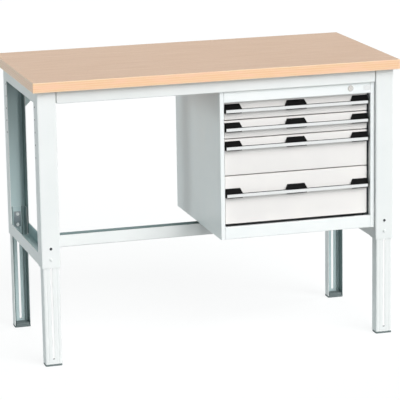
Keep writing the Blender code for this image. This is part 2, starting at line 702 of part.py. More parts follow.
runner_lows = []
teeth = []
front_high = stack_high
for number in range(len(DRAWER_PITCHES)):
    name = str(number + 1)
    front_low = front_high - DRAWER_PITCHES[number] + FRONT_GAP
    box_low = front_low + BOX_LIFT
    box_high = box_low + BOX_HEIGHTS[number]
    runner_low = box_low + RUNNER_LIFT
    runner_lows.append(runner_low)
    origin = ((front_left + front_right) / 2.0, front_near, front_low)

    solid = pan(front_left, front_right, front_near, front_far, front_low, front_high, FRONT_SHEET, "back")
    panel = add_object("drawer_front_" + name, solid, front_mat, origin)
    lug_high = front_high - LOCK_LUG_FROM_TOP
    lug_near = front_near + LOCK_LUG_SETBACK
    fuse(panel, [block(front_right - FUSE_SINK, front_right + LOCK_LUG, lug_near, lug_near + LOCK_LUG_DEPTH,
                       lug_high - LOCK_TOOTH_HEIGHT, lug_high)])
    teeth.append((lug_high + LOCK_CLEAR, lug_near - LOCK_CLEAR))

    solid = pan(box_left, box_right, box_near, box_far, box_low, box_high, BOX_SHEET, "top")
    tray = add_object("drawer_box_" + name, solid, box_mat, origin)
    box_runner_far = box_far - BOX_RUNNER_SHORT
    fuse(tray, [runner("right", box_left + BOX_RUNNER_SINK, BOX_RUNNER_WIDTH, runner_low, runner_near,
                       box_runner_far),
                runner("left", box_right - BOX_RUNNER_SINK, BOX_RUNNER_WIDTH, runner_low, runner_near,
                       box_runner_far)])

    bar_high = front_high - HANDLE_OFFSETS[number]
    bar_low = bar_high - BAR_HEIGHT
    bar_near = front_near - BAR_PROUD
    bar_far = front_near - GAP
    lip_top = bar_high
    shelf_top = bar_low + BAR_SHELF
    back_top = bar_high - BAR_BACK_DROP
    back_near = bar_far - BAR_BACK
    lip_far = bar_near + BAR_LIP
    corner = BAR_ROUND * (1.0 - math.sqrt(0.5))
    profile = [(bar_near + BAR_TOP_ROUND, lip_top), (bar_near, lip_top - BAR_TOP_DROP),
               (bar_near, bar_low + BAR_ROUND), (bar_near + corner, bar_low + corner),
               (bar_near + BAR_ROUND, bar_low), (bar_far, bar_low), (bar_far, back_top),
               (back_near, back_top), (back_near, shelf_top), (lip_far + BAR_FILLET, shelf_top),
               (lip_far, shelf_top + BAR_FILLET),
               (lip_far, lip_top - BAR_INNER_DROP), (lip_far - BAR_TOP_ROUND, lip_top)]
    solid = prism(profile, "X", front_left + END_PLATE + GAP, front_right - END_PLATE - GAP)
    add_object("handle_bar_" + name, solid, bar_mat, origin)

    stem_near = bar_near + BAR_LIP + GRIP_STEM_SIDE
    stem_far = bar_far - BAR_BACK - GAP
    strip_low = shelf_top + GAP
    strip_near = (stem_near + stem_far - STRIP_WIDTH) / 2.0
    face_near = bar_near + GRIP_SETBACK
    grip_low = bar_high + GAP
    grip_high = bar_high + GRIP_RISE
    middle = (front_left + front_right) / 2.0 - GRIP_MIDDLE_SHIFT
    spans = ((front_left + GRIP_END_GAP, front_left + GRIP_END_WIDTH, 0.0, GRIP_TAPER),
             (middle - GRIP_MIDDLE_WIDTH / 2.0, middle + GRIP_MIDDLE_WIDTH / 2.0, GRIP_TAPER, GRIP_TAPER),
             (front_right - GRIP_END_WIDTH, front_right - GRIP_END_GAP, GRIP_TAPER, 0.0))
    wedges = []
    for x0, x1, lean0, lean1 in spans:
        inset0 = GRIP_STEM_INSET if lean0 == 0.0 else 0.0
        inset1 = GRIP_STEM_INSET if lean1 == 0.0 else 0.0
        wedges.append(loft([(x0 + inset0, x1 - inset1, stem_near, stem_far, strip_low + FUSE_SINK),
                            (x0 + inset0, x1 - inset1, stem_near, stem_far, grip_low),
                            (x0, x1, face_near, bar_far, grip_low + GRIP_LEDGE),
                            (x0, x1, face_near, bar_far, grip_low + GRIP_EDGE),
                            (x0 + lean0, x1 - lean1, bar_far - GRIP_TOP_DEPTH, bar_far, grip_high)]))
    plates = []
    for x0, x1 in ((front_left, front_left + END_PLATE), (front_right - END_PLATE, front_right)):
        plates.append(block(x0, x1, bar_near - END_PLATE_PROUD, bar_far, bar_low - END_PLATE_DROP,
                            grip_low + END_PLATE_RISE))
    strip = block(front_left + END_PLATE / 2.0, front_right - END_PLATE / 2.0, strip_near,
                  strip_near + STRIP_WIDTH, strip_low, strip_low + STRIP_THICK)
    grips = add_object("handle_grips_" + name, strip, grip_mat, origin)
    fuse(grips, [merge(wedges), merge(plates)])
    front_high = front_high - DRAWER_PITCHES[number]

for side in ("left", "right"):
    way = 1.0 if side == "left" else -1.0
    web = (open_left if side == "left" else open_right) + way * FIXED_RUNNER_OFFSET
    wall = inside_left + GAP if side == "left" else inside_right - GAP
    face = web + way * (RUNNER_SHEET / 2.0 - UPRIGHT_SINK)
    uprights = []
    for y0 in (runner_near + UPRIGHT_FROM_START, runner_far - UPRIGHT_FROM_END - UPRIGHT_WIDTH):
        y1 = y0 + UPRIGHT_WIDTH
        path = [(wall, y0 + thin), (face - way * thin, y0 + thin),
                (face - way * thin, y1 - thin), (wall, y1 - thin)]
        uprights.append(prism(sheet_outline(path, CASE_SHEET, CASE_BEND), "Z",
                              case_low + FLOOR_LIFT + CASE_SHEET + GAP,
                              case_high - TOP_FLANGE - UPRIGHT_TOP_GAP))
    rack = add_object("slide_rack_" + side, merge(uprights), slide_mat, (web, runner_near, case_low))
    fixed = [runner(side, web, FIXED_RUNNER_WIDTH, low, runner_near, runner_far) for low in runner_lows]
    fuse(rack, [merge(fixed)])
    for number, low in enumerate(runner_lows):
        outer = (open_left if side == "left" else open_right) + way * SLIDE_BAR_OFFSET
        ends = sorted((outer, outer + way * SLIDE_BAR_WIDTH))
        solid = block(ends[0], ends[1], runner_near, runner_far - SLIDE_BAR_SHORT,
                      low + RUNNER_SHEET + GAP, low + RUNNER_HEIGHT - RUNNER_SHEET - GAP)
        add_object("slide_bar_" + side + "_" + str(number + 1), solid, slide_mat, (outer, runner_near, low))

# Lock cylinder with its cam, and the bar that it pushes down
lock_mat = make_material("lock_cylinder", ZINC, 1.0, 0.25)
lock_bar_mat = make_material("lock_bar", BLACK, 0.6, 0.5)
cam_near = case_front + LOCK_DEPTH
cam_outline = []
for centre, begin in ((lock_x + CAM_REACH, -90.0), (lock_x, 90.0)):
    for step in range(CAM_STEPS + 1):
        angle = math.radians(begin + 180.0 * step / CAM_STEPS)
        cam_outline.append((centre + CAM_ROUND * math.cos(angle), lock_z + CAM_ROUND * math.sin(angle)))
head_far = case_front - GAP
head_near = head_far - LOCK_HEAD_PROUD
body = prism(circle(lock_x, lock_z, LOCK_BODY_RADIUS, LOCK_STEPS), "Y", head_far - FUSE_SINK, cam_near)
cylinder = add_object("lock_cylinder", body, lock_mat, (lock_x, case_front, lock_z))
fuse(cylinder, [prism(circle(lock_x, lock_z, LOCK_HEAD_RADIUS, LOCK_STEPS), "Y", head_near, head_far),
                prism(cam_outline, "Y", cam_near - FUSE_SINK, cam_near + CAM_THICK)])
cut(cylinder, [block(lock_x - KEY_SLOT_WIDTH / 2.0, lock_x + KEY_SLOT_WIDTH / 2.0,
                     head_near - CUT_PAST, head_near + KEY_SLOT_DEEP,
                     lock_z - KEY_SLOT_HEIGHT / 2.0, lock_z + KEY_SLOT_HEIGHT / 2.0)])

arm_high = lock_z - CAM_ROUND - CAM_PLAY
bar_x1 = open_right - LOCK_BAR_SIDE_GAP
bar_x0 = bar_x1 - LOCK_BAR_THICK
bar_y0 = front_near + LOCK_BAR_SETBACK
lowest = teeth[-1][0] - LOCK_BAR_TAIL
solid = block(bar_x0, bar_x1, bar_y0, bar_y0 + LOCK_BAR_WIDTH, lowest, arm_high)
lock_bar = add_object("lock_bar", solid, lock_bar_mat, (lock_x, cam_near, arm_high))
parts = [block(lock_x - LOCK_ARM_REACH, bar_x1 - FUSE_SINK, bar_y0 + FUSE_SINK,
               bar_y0 + FUSE_SINK + LOCK_ARM_THICK, arm_high - LOCK_BAR_ARM, arm_high - LOCK_ARM_DROP)]
for low, far in teeth:
    parts.append(block(bar_x0 - LOCK_TOOTH, bar_x0 + FUSE_SINK, far - LOCK_TOOTH_DEPTH, far,
                       low, low + LOCK_TOOTH_HEIGHT))
fuse(lock_bar, [merge(parts)])
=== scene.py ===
"""The looks of a height-adjustable workbench with a hanging four-drawer cabinet.

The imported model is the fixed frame: X runs along the bench, -Y is the user's side, +Z is up, in metres.
"""

import math

import bmesh
import bpy
import numpy as np
from mathutils import Matrix, Vector


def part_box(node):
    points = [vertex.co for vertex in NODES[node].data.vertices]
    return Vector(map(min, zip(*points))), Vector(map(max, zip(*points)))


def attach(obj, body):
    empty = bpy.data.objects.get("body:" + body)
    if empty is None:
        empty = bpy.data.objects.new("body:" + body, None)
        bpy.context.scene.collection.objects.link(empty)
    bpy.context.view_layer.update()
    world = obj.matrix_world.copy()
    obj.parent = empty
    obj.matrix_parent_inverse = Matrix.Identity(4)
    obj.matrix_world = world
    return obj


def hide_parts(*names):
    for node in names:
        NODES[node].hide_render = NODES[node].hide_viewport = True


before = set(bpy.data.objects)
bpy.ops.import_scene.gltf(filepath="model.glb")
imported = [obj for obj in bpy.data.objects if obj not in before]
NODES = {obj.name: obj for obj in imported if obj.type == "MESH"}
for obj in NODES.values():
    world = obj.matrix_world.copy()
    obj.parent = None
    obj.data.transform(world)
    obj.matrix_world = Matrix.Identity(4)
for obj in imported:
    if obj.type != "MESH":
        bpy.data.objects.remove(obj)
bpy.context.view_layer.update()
CORNERS = ("front_left", "front_right", "rear_left", "rear_right")
SIDES = ("left", "right")
DRAWERS = (1, 2, 3, 4)

# Camera, at the photograph's viewing angle
CAMERA_PLACE = (-2.559, -8.834, 2.679)
CAMERA_YAW = 16.26
CAMERA_PITCH = 13.088
CAMERA_ROLL = -0.9
CAMERA_LENS = 206.4
CAMERA_REACH = 200.0
SENSOR = 36.0

# Soft lamps: turn from the front towards the right, rise above the floor, level on a facing wall, spread, tint
LAMPS = {
    "front_key": (22.0, 37.0, 0.91, 52.0, "#FFFFFF"),
    "front_low": (16.0, 5.0, 0.18, 12.0, "#FFFFFF"),
    "left_fill": (-98.0, 6.0, 0.25, 12.0, "#EAF6F8"),
    "right_fill": (99.0, 16.0, 0.34, 24.0, "#FFFFFF"),
    "back_fill": (178.0, 22.0, 0.36, 40.0, "#FFFFFF"),
}
AMBIENT = 0.14
AMBIENT_TINT = "#BDE7EC"

# Floor
FLOOR_SIZE = 60.0
FLOOR_GREY = "#9C9E9E"
FLOOR_GLOW = 0.86
FLOOR_SHADE = 0.50

# Colours; a tone's shade or raised partner is what its surface varies towards
WHITE = "#FFFFFF"
BLACK = "#000000"
BEECH_LIGHT = "#D0A884"
BEECH_DARK = "#C1956F"
BEECH_FLECK = "#A87B55"
PLY_LONG = "#FFE7CC"
PLY_END = "#F9CFA4"
PLY_GLUE = "#DEA87C"
PLY_CORE = "#F5C297"
PLY_BLUSH = "#FBCBAD"
FRAME_PAINT = "#F1F2F1"
FRAME_SHADE = "#ECEEED"
CASE_PAINT = "#F7F8F7"
CASE_SHADE = "#F1F4F4"
FRONT_PAINT = "#F0ECE9"
FRONT_SHADE = "#EBE7E5"
# The drawer boxes' grey is partly their own colour and partly painted shade: it is kept darker so that the seams
# between the fronts read dark
BOX_GREY_AND_SEAM_SHADE = "#D9DDDE"
BOX_SHADE = "#D2D6D7"
# Painted shade: a darker teal-grey for the inner faces of the frame's channels, the web's and, darkest, the
# flanges', standing in for the shade inside them
WEB_PAINTED_SHADE = "#C6D8D9"
FLANGE_PAINTED_SHADE = "#8C9E9E"
# Painted shade: near black for the walls of the upper legs' round holes, so that the holes read as shaded
HOLE_WALL_PAINTED_SHADE = "#3C4244"
ZINC_TONE = "#C2C7CC"
ZINC_SHADE = "#9DA3AA"
BLACK_TONE = "#060606"
BLACK_RAISED = "#131314"
FOOT_TONE = "#747E7E"
FOOT_RAISED = "#818B8B"
BLACK_ZINC = "#2A2B2E"
ALUMINIUM_TONE = "#EFF1F1"
# Painted shade: dark grey inside the handle bars' trough, standing in for the shade there
TROUGH_PAINTED_SHADE = "#5C6062"
NICKEL_TONE = "#DEDCD8"

# Pattern sizes in metres; a triple gives them along X, Y and Z
PEEL = 0.0022
PAINT_CLOUD = 0.16
TOP_LOW = 1.100
TOP_HIGH = 1.140
PLIES = 9.0
GLUE_SHARE = 0.09
CORE_PLIES = (1.0, 3.2)
VENEER_LEAF = 0.155
GRAIN = (0.16, 0.0036, 0.0036)
FIGURE = (0.55, 0.045, 0.045)
FLECK = (0.011, 0.0016, 0.0016)
END_PORE = 0.0012
LONG_GRAIN = (0.06, 0.06, 0.0007)
BLUSH_PATCH = (0.09, 0.02, 0.012)
DRAWN_LINE = (0.25, 0.0011, 0.0011)
GRIT = 0.0009
SPANGLE = 0.007
ZINC_PATCH = 0.012
POLISH_HAZE = 0.0015

# Depth of the relief on the surfaces
COARSE_RELIEF = 0.0002
FINE_RELIEF = 0.0001

# Shared construction sizes: the cabinet's sheet, the play between parts that touch, and a hair's breadth
SHEET = 0.0015
GAP = 0.0003
FINE = 0.0001
WELD = 0.000002
CREASE = 34.0


def colour(code):
    """Linear RGBA of an sRGB hex code."""
    parts = np.array([int(code[k:k + 2], 16) for k in (1, 3, 5)]) / 255.0
    values = np.where(parts <= 0.04045, parts / 12.92, ((parts + 0.055) / 1.055) ** 2.4)
    return (*[float(v) for v in values], 1.0)


def add_node(tree, kind, settings=None, links=None):
    """A node of that kind, with its properties or sockets set and its inputs linked."""
    node = tree.nodes.new(kind)
    for key, value in (settings or {}).items():
        if isinstance(key, str) and hasattr(node, key):
            setattr(node, key, value)
        else:
            node.inputs[key].default_value = value
    for key, source in (links or {}).items():
        tree.links.new(source, node.inputs[key])
    return node


def new_material(name, roughness, metallic=0.0):
    """Material with its Principled shader, output and Object coordinates."""
    made = bpy.data.materials.new(name)
    made.use_nodes = True
    tree = made.node_tree
    tree.nodes.clear()
    shader = add_node(tree, "ShaderNodeBsdfPrincipled", {"Roughness": roughness, "Metallic": metallic})
    add_node(tree, "ShaderNodeOutputMaterial", links={"Surface": shader.outputs["BSDF"]})
    place = add_node(tree, "ShaderNodeTexCoord").outputs["Object"]
    return made, tree, shader, place


def noise(tree, place, size, detail=2.0):
    """Noise whose cells measure size, given as one number or as X, Y and Z, in metres."""
    sizes = size if isinstance(size, tuple) else (size, size, size)
    scaled = add_node(tree, "ShaderNodeMapping", {"Scale": tuple(1.0 / s for s in sizes)}, {"Vector": place})
    return add_node(tree, "ShaderNodeTexNoise", {"Scale": 1.0, "Detail": detail},
                    {"Vector": scaled.outputs["Vector"]}).outputs["Fac"]


def spread(tree, value, low, high, start=0.3, end=0.7):
    """The value's range from start to end, drawn out from low to high."""
    ends = {"From Min": start, "From Max": end, "To Min": low, "To Max": high}
    return add_node(tree, "ShaderNodeMapRange", ends, {"Value": value}).outputs["Result"]


def blend(tree, share, first, second):
    """Two colours, each a hex code or a socket, mixed by a share that is a number or a socket."""
    node = add_node(tree, "ShaderNodeMix", {"data_type": "RGBA"})
    for key, value in ((0, share), (6, first), (7, second)):
        if isinstance(value, str):
            node.inputs[key].default_value = colour(value)
        elif isinstance(value, (int, float)):
            node.inputs[key].default_value = value
        else:
            tree.links.new(value, node.inputs[key])
    return node.outputs[2]


def relief(tree, shader, height, strength, distance):
    """Small relief on the surface, from a height between 0 and 1."""
    bump = add_node(tree, "ShaderNodeBump", {"Strength": strength, "Distance": distance}, {"Height": height})
    tree.links.new(bump.outputs["Normal"], shader.inputs["Normal"])


def within(tree, place, middle, low, high):
    """1 inside a box and 0 outside it.

    The place is first mirrored about the bench's middle and about a depth, the middle, so that one box
    serves both ends and both rows of legs. A point is inside if its distance from the box's centre is less
    than half the box on all three axes.
    """
    centre = tuple((low + high) / 2.0)
    half = tuple((high - low) / 2.0)
    offset = place
    for operation, value in (("SUBTRACT", (0.0, middle, 0.0)), ("ABSOLUTE", None), ("SUBTRACT", centre),
                             ("ABSOLUTE", None), ("SUBTRACT", half)):
        settings = {"operation": operation, 1: value} if value else {"operation": operation}
        offset = add_node(tree, "ShaderNodeVectorMath", settings, {0: offset}).outputs["Vector"]
    axes = add_node(tree, "ShaderNodeSeparateXYZ", links={"Vector": offset})
    most = add_node(tree, "ShaderNodeMath", {"operation": "MAXIMUM"}, {0: axes.outputs["X"], 1: axes.outputs["Y"]})
    most = add_node(tree, "ShaderNodeMath", {"operation": "MAXIMUM"}, {0: most.outputs[0], 1: axes.outputs["Z"]})
    return add_node(tree, "ShaderNodeMath", {"operation": "LESS_THAN", 1: 0.0}, {0: most.outputs[0]}).outputs[0]


def powder_coat(name, code, shade, roughness=0.40, inside=()):
    """Polyester powder coat, sprayed and baked on sheet steel.

    A satin skin with a fine orange peel and hardly any change of tone. The peel, really about 1.2 mm across,
    is drawn at 2.2 mm so that it shows. The inner faces of a channel are painted a darker teal-grey as
    painted shade, standing in for the shade inside the channel; inside gives their boxes and tones.
    """
    made, tree, shader, place = new_material(name, roughness)
    cloud = noise(tree, place, PAINT_CLOUD, 3.0)
    tone = blend(tree, spread(tree, cloud, 0.0, 1.0), shade, code)
    # Painted shade: inside each box the tone turns to the darker one given with it
    for box, paint in inside:
        tone = blend(tree, within(tree, place, *box), tone, paint)
    tree.links.new(tone, shader.inputs["Base Color"])
    tree.links.new(spread(tree, cloud, roughness - 0.05, roughness + 0.05), shader.inputs["Roughness"])
    relief(tree, shader, noise(tree, place, PEEL), 0.10, COARSE_RELIEF)
    return made


def veneer_tone(tree, place, depth, streak):
    """Tone of the rotary-cut veneer: long streaks, a broad figure, a change from leaf to leaf, and flecks."""
    figure = noise(tree, place, FIGURE, 3.0)
    fleck = noise(tree, place, FLECK, 1.0)
    leaf = add_node(tree, "ShaderNodeMath", {"operation": "DIVIDE", 1: VENEER_LEAF}, {0: depth})
    leaf = add_node(tree, "ShaderNodeMath", {"operation": "FLOOR"}, {0: leaf.outputs[0]})
    leaf = add_node(tree, "ShaderNodeTexWhiteNoise", {"noise_dimensions": "1D"}, {"W": leaf.outputs[0]})
    veneer = blend(tree, spread(tree, streak, 0.0, 1.0), BEECH_DARK, BEECH_LIGHT)
    veneer = blend(tree, spread(tree, figure, 0.30, 0.0, 0.35, 0.65), veneer, BEECH_DARK)
    veneer = blend(tree, spread(tree, leaf.outputs["Value"], 0.0, 0.22, 0.0, 1.0), veneer, BEECH_DARK)
    return blend(tree, spread(tree, fleck, 0.0, 0.55, 0.60, 0.72), veneer, BEECH_FLECK)


def ply_tone(tree, place, height):
    """Tone of the cut edges.

    The height counts the plies, and its fraction gives the glue line under each. End grain and long grain
    take turns, the core is redder than the outer plies, and soft patches run along the edge.
    """
    level = spread(tree, height, 0.0, PLIES, TOP_LOW, TOP_HIGH)
    number = add_node(tree, "ShaderNodeMath", {"operation": "FLOOR"}, {0: level})
    rise = add_node(tree, "ShaderNodeMath", {"operation": "FRACT"}, {0: level})
    glue = add_node(tree, "ShaderNodeMath", {"operation": "LESS_THAN", 1: GLUE_SHARE}, {0: rise.outputs[0]})
    odd = add_node(tree, "ShaderNodeMath", {"operation": "PINGPONG", 1: 1.0}, {0: number.outputs[0]})
    tone = add_node(tree, "ShaderNodeTexWhiteNoise", {"noise_dimensions": "1D"}, {"W": number.outputs[0]})
    pores = noise(tree, place, END_PORE, 2.0)
    long_grain = noise(tree, place, LONG_GRAIN, 3.0)
    end_ply = blend(tree, spread(tree, pores, 0.0, 0.5), PLY_END, PLY_GLUE)
    long_ply = blend(tree, spread(tree, long_grain, 0.0, 0.6), PLY_LONG, PLY_END)
    plies = blend(tree, odd.outputs[0], long_ply, end_ply)
    plies = blend(tree, spread(tree, tone.outputs["Value"], 0.0, 0.35, 0.0, 1.0), plies, PLY_END)
    plies = blend(tree, glue.outputs[0], plies, PLY_GLUE)
    core = add_node(tree, "ShaderNodeMath", {"operation": "PINGPONG", 1: PLIES / 2.0}, {0: level})
    plies = blend(tree, spread(tree, core.outputs[0], 0.0, 0.55, *CORE_PLIES), plies, PLY_CORE)
    patch = noise(tree, place, BLUSH_PATCH, 3.0)
    return blend(tree, spread(tree, patch, 0.0, 0.7, 0.45, 0.65), plies, PLY_BLUSH)


def beech_multiplex():
    """Beech multiplex board under clear lacquer: rotary-cut veneer on the flats, cut plies on the edges.

    The veneer is warm and even, with long soft streaks and short darker flecks along the board. The edges
    show light plies of long grain between darker ones of end grain. The flecks, really 0.3 mm by 3 mm, are
    drawn wider so that they show, and so are the plies, really 1.5 mm thick.
    """
    made, tree, shader, place = new_material("lacquered_beech_multiplex", 0.36)
    shader.inputs["IOR"].default_value = 1.5
    shader.inputs["Coat Weight"].default_value = 0.15
    shader.inputs["Coat Roughness"].default_value = 0.28
    axes = add_node(tree, "ShaderNodeSeparateXYZ", links={"Vector": place})
    streak = noise(tree, place, GRAIN, 4.0)
    veneer = veneer_tone(tree, place, axes.outputs["Y"], streak)
    plies = ply_tone(tree, place, axes.outputs["Z"])
    facing = add_node(tree, "ShaderNodeTexCoord")
    facing = add_node(tree, "ShaderNodeSeparateXYZ", links={"Vector": facing.outputs["Normal"]})
    flat = add_node(tree, "ShaderNodeMath", {"operation": "ABSOLUTE"}, {0: facing.outputs["Z"]})
    flat = spread(tree, flat.outputs[0], 0.0, 1.0, 0.55, 0.75)
    tree.links.new(blend(tree, flat, plies, veneer), shader.inputs["Base Color"])
    tree.links.new(spread(tree, streak, 0.42, 0.32), shader.inputs["Roughness"])
    relief(tree, shader, streak, 0.12, COARSE_RELIEF)
    return made


def anodised_aluminium_with_painted_trough_shade(inside):
    """Extruded aluminium, etched and clear anodised.

    Silky and pale, with draw lines along the bar that soften its reflections. The lines, really about
    0.3 mm apart, are drawn at 1.1 mm so that they show. Inside the trough, whose box inside gives, the
    metal is painted dark grey as painted shade, standing in for the shade in the trough.
    """
    made, tree, shader, place = new_material("anodised_aluminium_with_painted_trough_shade", 0.30, 1.0)
    # Painted shade: inside the trough's box the metal turns dark grey
    tone = blend(tree, within(tree, place, *inside), ALUMINIUM_TONE, TROUGH_PAINTED_SHADE)
    tree.links.new(tone, shader.inputs["Base Color"])
    lines = noise(tree, place, DRAWN_LINE, 3.0)
    tree.links.new(spread(tree, lines, 0.24, 0.38), shader.inputs["Roughness"])
    relief(tree, shader, lines, 0.15, FINE_RELIEF)
    return made


def moulded_plastic(name, code, raised, roughness):
    """Glass-filled polyamide, moulded in a spark-eroded tool.

    Dry and even, with a fine grit that breaks up the shine and lifts the tone a little. The grit, really
    about 0.2 mm, is drawn at 0.9 mm so that it shows.
    """
    made, tree, shader, place = new_material(name, roughness)
    shader.inputs["IOR"].default_value = 1.53
    shader.inputs["Specular IOR Level"].default_value = 0.14
    grit = noise(tree, place, GRIT)
    tree.links.new(blend(tree, spread(tree, grit, 0.0, 0.5), code, raised), shader.inputs["Base Color"])
    tree.links.new(spread(tree, grit, roughness - 0.08, roughness + 0.08), shader.inputs["Roughness"])
    relief(tree, shader, grit, 0.25, FINE_RELIEF)
    return made


def zinc_plate(name, code, roughness):
    """Steel with zinc plate, passivated clear or black.

    Cold and metallic, silver-grey or near black, with cloudy patches a few millimetres wide that turn the
    shine up and down.
    """
    made, tree, shader, place = new_material(name, roughness, 1.0)
    cells = add_node(tree, "ShaderNodeTexVoronoi", {"Scale": 1.0 / SPANGLE}, {"Vector": place})
    patch = noise(tree, place, ZINC_PATCH, 3.0)
    tree.links.new(blend(tree, spread(tree, patch, 0.0, 0.5), code, ZINC_SHADE), shader.inputs["Base Color"])
    tree.links.new(spread(tree, cells.outputs["Distance"], roughness - 0.06, roughness + 0.08, 0.0, 1.0),
                   shader.inputs["Roughness"])
    relief(tree, shader, patch, 0.06, COARSE_RELIEF)
    return made


def nickel_plate():
    """Die-cast lock parts, polished and nickel plated.

    Warm grey and fairly sharp in its reflections, with a faint haze that the polishing left under the plate.
    """
    made, tree, shader, place = new_material("nickel_plate", 0.24, 1.0)
    shader.inputs["Base Color"].default_value = colour(NICKEL_TONE)
    haze = noise(tree, place, POLISH_HAZE, 3.0)
    tree.links.new(spread(tree, haze, 0.18, 0.32), shader.inputs["Roughness"])
    relief(tree, shader, haze, 0.08, FINE_RELIEF)
    return made


# Inner faces of the frame's channels, painted darker as shade
# SKIN is just short of the 2.5 mm sheet, so a box drawn in by it starts at the inner face
# GUSSET_SKIN does the same for the rear rail's gusset, whose front face lies 2.1 mm in
# PAST_WEB lies just past the web's inner face, so a box drawn in by it takes in the flanges alone
# OPEN lets a box run out past the node, and FAR past the whole bench
# HOLES_LOW and HOLES_HIGH leave the round holes' walls in the outer sheet of an upper leg, which are painted dark
# as shade
# TROUGH_LIP and TROUGH_BACK draw a handle bar's box in to the faces of its trough, where the metal is painted dark
# as shade
SKIN = 0.0024
GUSSET_SKIN = 0.0016
PAST_WEB = 0.0028
OPEN = -1.0
FAR = 2.0
HOLES_LOW = (0.0735, 0.0105, 0.4295)
HOLES_HIGH = (0.0001, 0.0425, 0.0610)
TROUGH_LIP = 0.0036
TROUGH_BACK = 0.0023
FRAME_MIDDLE = (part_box("upper_leg_front_right")[0][1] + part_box("upper_leg_rear_right")[1][1]) / 2.0
# Each row: start of the nodes' names, sample node, insets at its low and at its high corner, tone of the painted
# shade
CHANNELS = (
    ("upper_leg", "upper_leg_front_right", (SKIN, OPEN, OPEN), (SKIN, SKIN, OPEN), WEB_PAINTED_SHADE),
    ("upper_leg", "upper_leg_front_right", (SKIN, OPEN, OPEN), (SKIN, PAST_WEB, OPEN), FLANGE_PAINTED_SHADE),
    ("upper_leg", "upper_leg_front_right", HOLES_LOW, HOLES_HIGH, HOLE_WALL_PAINTED_SHADE),
    ("inner_leg", "inner_leg_front_right", (SKIN, OPEN, OPEN), (SKIN, SKIN, OPEN), WEB_PAINTED_SHADE),
    ("inner_leg", "inner_leg_front_right", (SKIN, OPEN, OPEN), (SKIN, PAST_WEB, OPEN), FLANGE_PAINTED_SHADE),
    ("top_side_rail", "top_side_rail_right", (SKIN, OPEN, OPEN), (SKIN, OPEN, SKIN), FLANGE_PAINTED_SHADE),
    ("bottom_side_rail", "bottom_side_rail_right", (SKIN, OPEN, SKIN), (SKIN, OPEN, OPEN), WEB_PAINTED_SHADE),
    ("stretcher", "stretcher", (OPEN, OPEN, SKIN), (OPEN, SKIN, OPEN), FLANGE_PAINTED_SHADE),
    ("rear_top_rail", "rear_top_rail", (OPEN, OPEN, OPEN), (OPEN, GUSSET_SKIN, SKIN), WEB_PAINTED_SHADE),
)
CHANNEL_NAMES = tuple(dict.fromkeys(row[0] for row in CHANNELS))


def inner_box(node, from_low, from_high):
    """Depth about which places are mirrored, and the box of a channel's inner faces in mirrored places.

    The stretcher is mirrored about its own depth, because it has no twin in front.
    """
    low, high = (np.array(corner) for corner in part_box(node))
    middle = (low[1] + high[1]) / 2.0 if node == "stretcher" else FRAME_MIDDLE
    first = np.abs(low - (0.0, middle, 0.0))
    second = np.abs(high - (0.0, middle, 0.0))
    return middle, np.minimum(first, second) + from_low, np.maximum(first, second) - from_high


def trough_box():
    """Depth of the middle of the handle bars' trough, and its mirrored box, open along X and Z."""
    low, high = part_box("handle_bar_1")
    near, far = low[1] + TROUGH_LIP, high[1] - TROUGH_BACK
    half = (far - near) / 2.0
    return (near + far) / 2.0, np.array((-FAR, -half, -FAR)), np.array((FAR, half, FAR))


# Finishes by name, and the finish of each node by the start of its name
FINISH = {
    "beech": beech_multiplex(),
    "frame_coat": powder_coat("light_grey_frame_coat", FRAME_PAINT, FRAME_SHADE),
    "case_coat": powder_coat("light_grey_case_coat", CASE_PAINT, CASE_SHADE),
    "front_coat": powder_coat("pale_front_coat", FRONT_PAINT, FRONT_SHADE),
    "box_coat": powder_coat("grey_box_coat", BOX_GREY_AND_SEAM_SHADE, BOX_SHADE, 0.46),
    "zinc": zinc_plate("bright_zinc_plate", ZINC_TONE, 0.36),
    "black_zinc": zinc_plate("black_zinc_plate", BLACK_ZINC, 0.46),
    "aluminium": anodised_aluminium_with_painted_trough_shade(trough_box()),
    "black": moulded_plastic("black_polyamide", BLACK_TONE, BLACK_RAISED, 0.58),
    "foot_plastic": moulded_plastic("grey_foot_plastic", FOOT_TONE, FOOT_RAISED, 0.62),
    "nickel": nickel_plate(),
}
# The channels' materials carry the painted shade of their inner faces
for start in CHANNEL_NAMES:
    boxes = [(inner_box(*row[1:4]), row[4]) for row in CHANNELS if row[0] == start]
    FINISH[start + "_coat"] = powder_coat(start + "_frame_coat", FRAME_PAINT, FRAME_SHADE, inside=boxes)
NODE_FINISH = (
    ("worktop", "beech"), ("foot", "foot_plastic"), ("clamp", "zinc"), ("cabinet", "case_coat"),
    ("drawer_front", "front_coat"), ("drawer_box", "box_coat"), ("slide", "zinc"), ("handle_bar", "aluminium"),
    ("handle_grips", "black"), ("lock_cylinder", "nickel"), ("lock_bar", "black_zinc"),
    *((start, start + "_coat") for start in CHANNEL_NAMES), ("", "frame_coat"),
)


def dress_nodes():
    """Give every carried-over node the finish of the first name that its own name starts with."""
    for name, item in NODES.items():
        finish = next(made for start, made in NODE_FINISH if name.startswith(start))
        for slot in item.material_slots:
            slot.material = FINISH[finish]


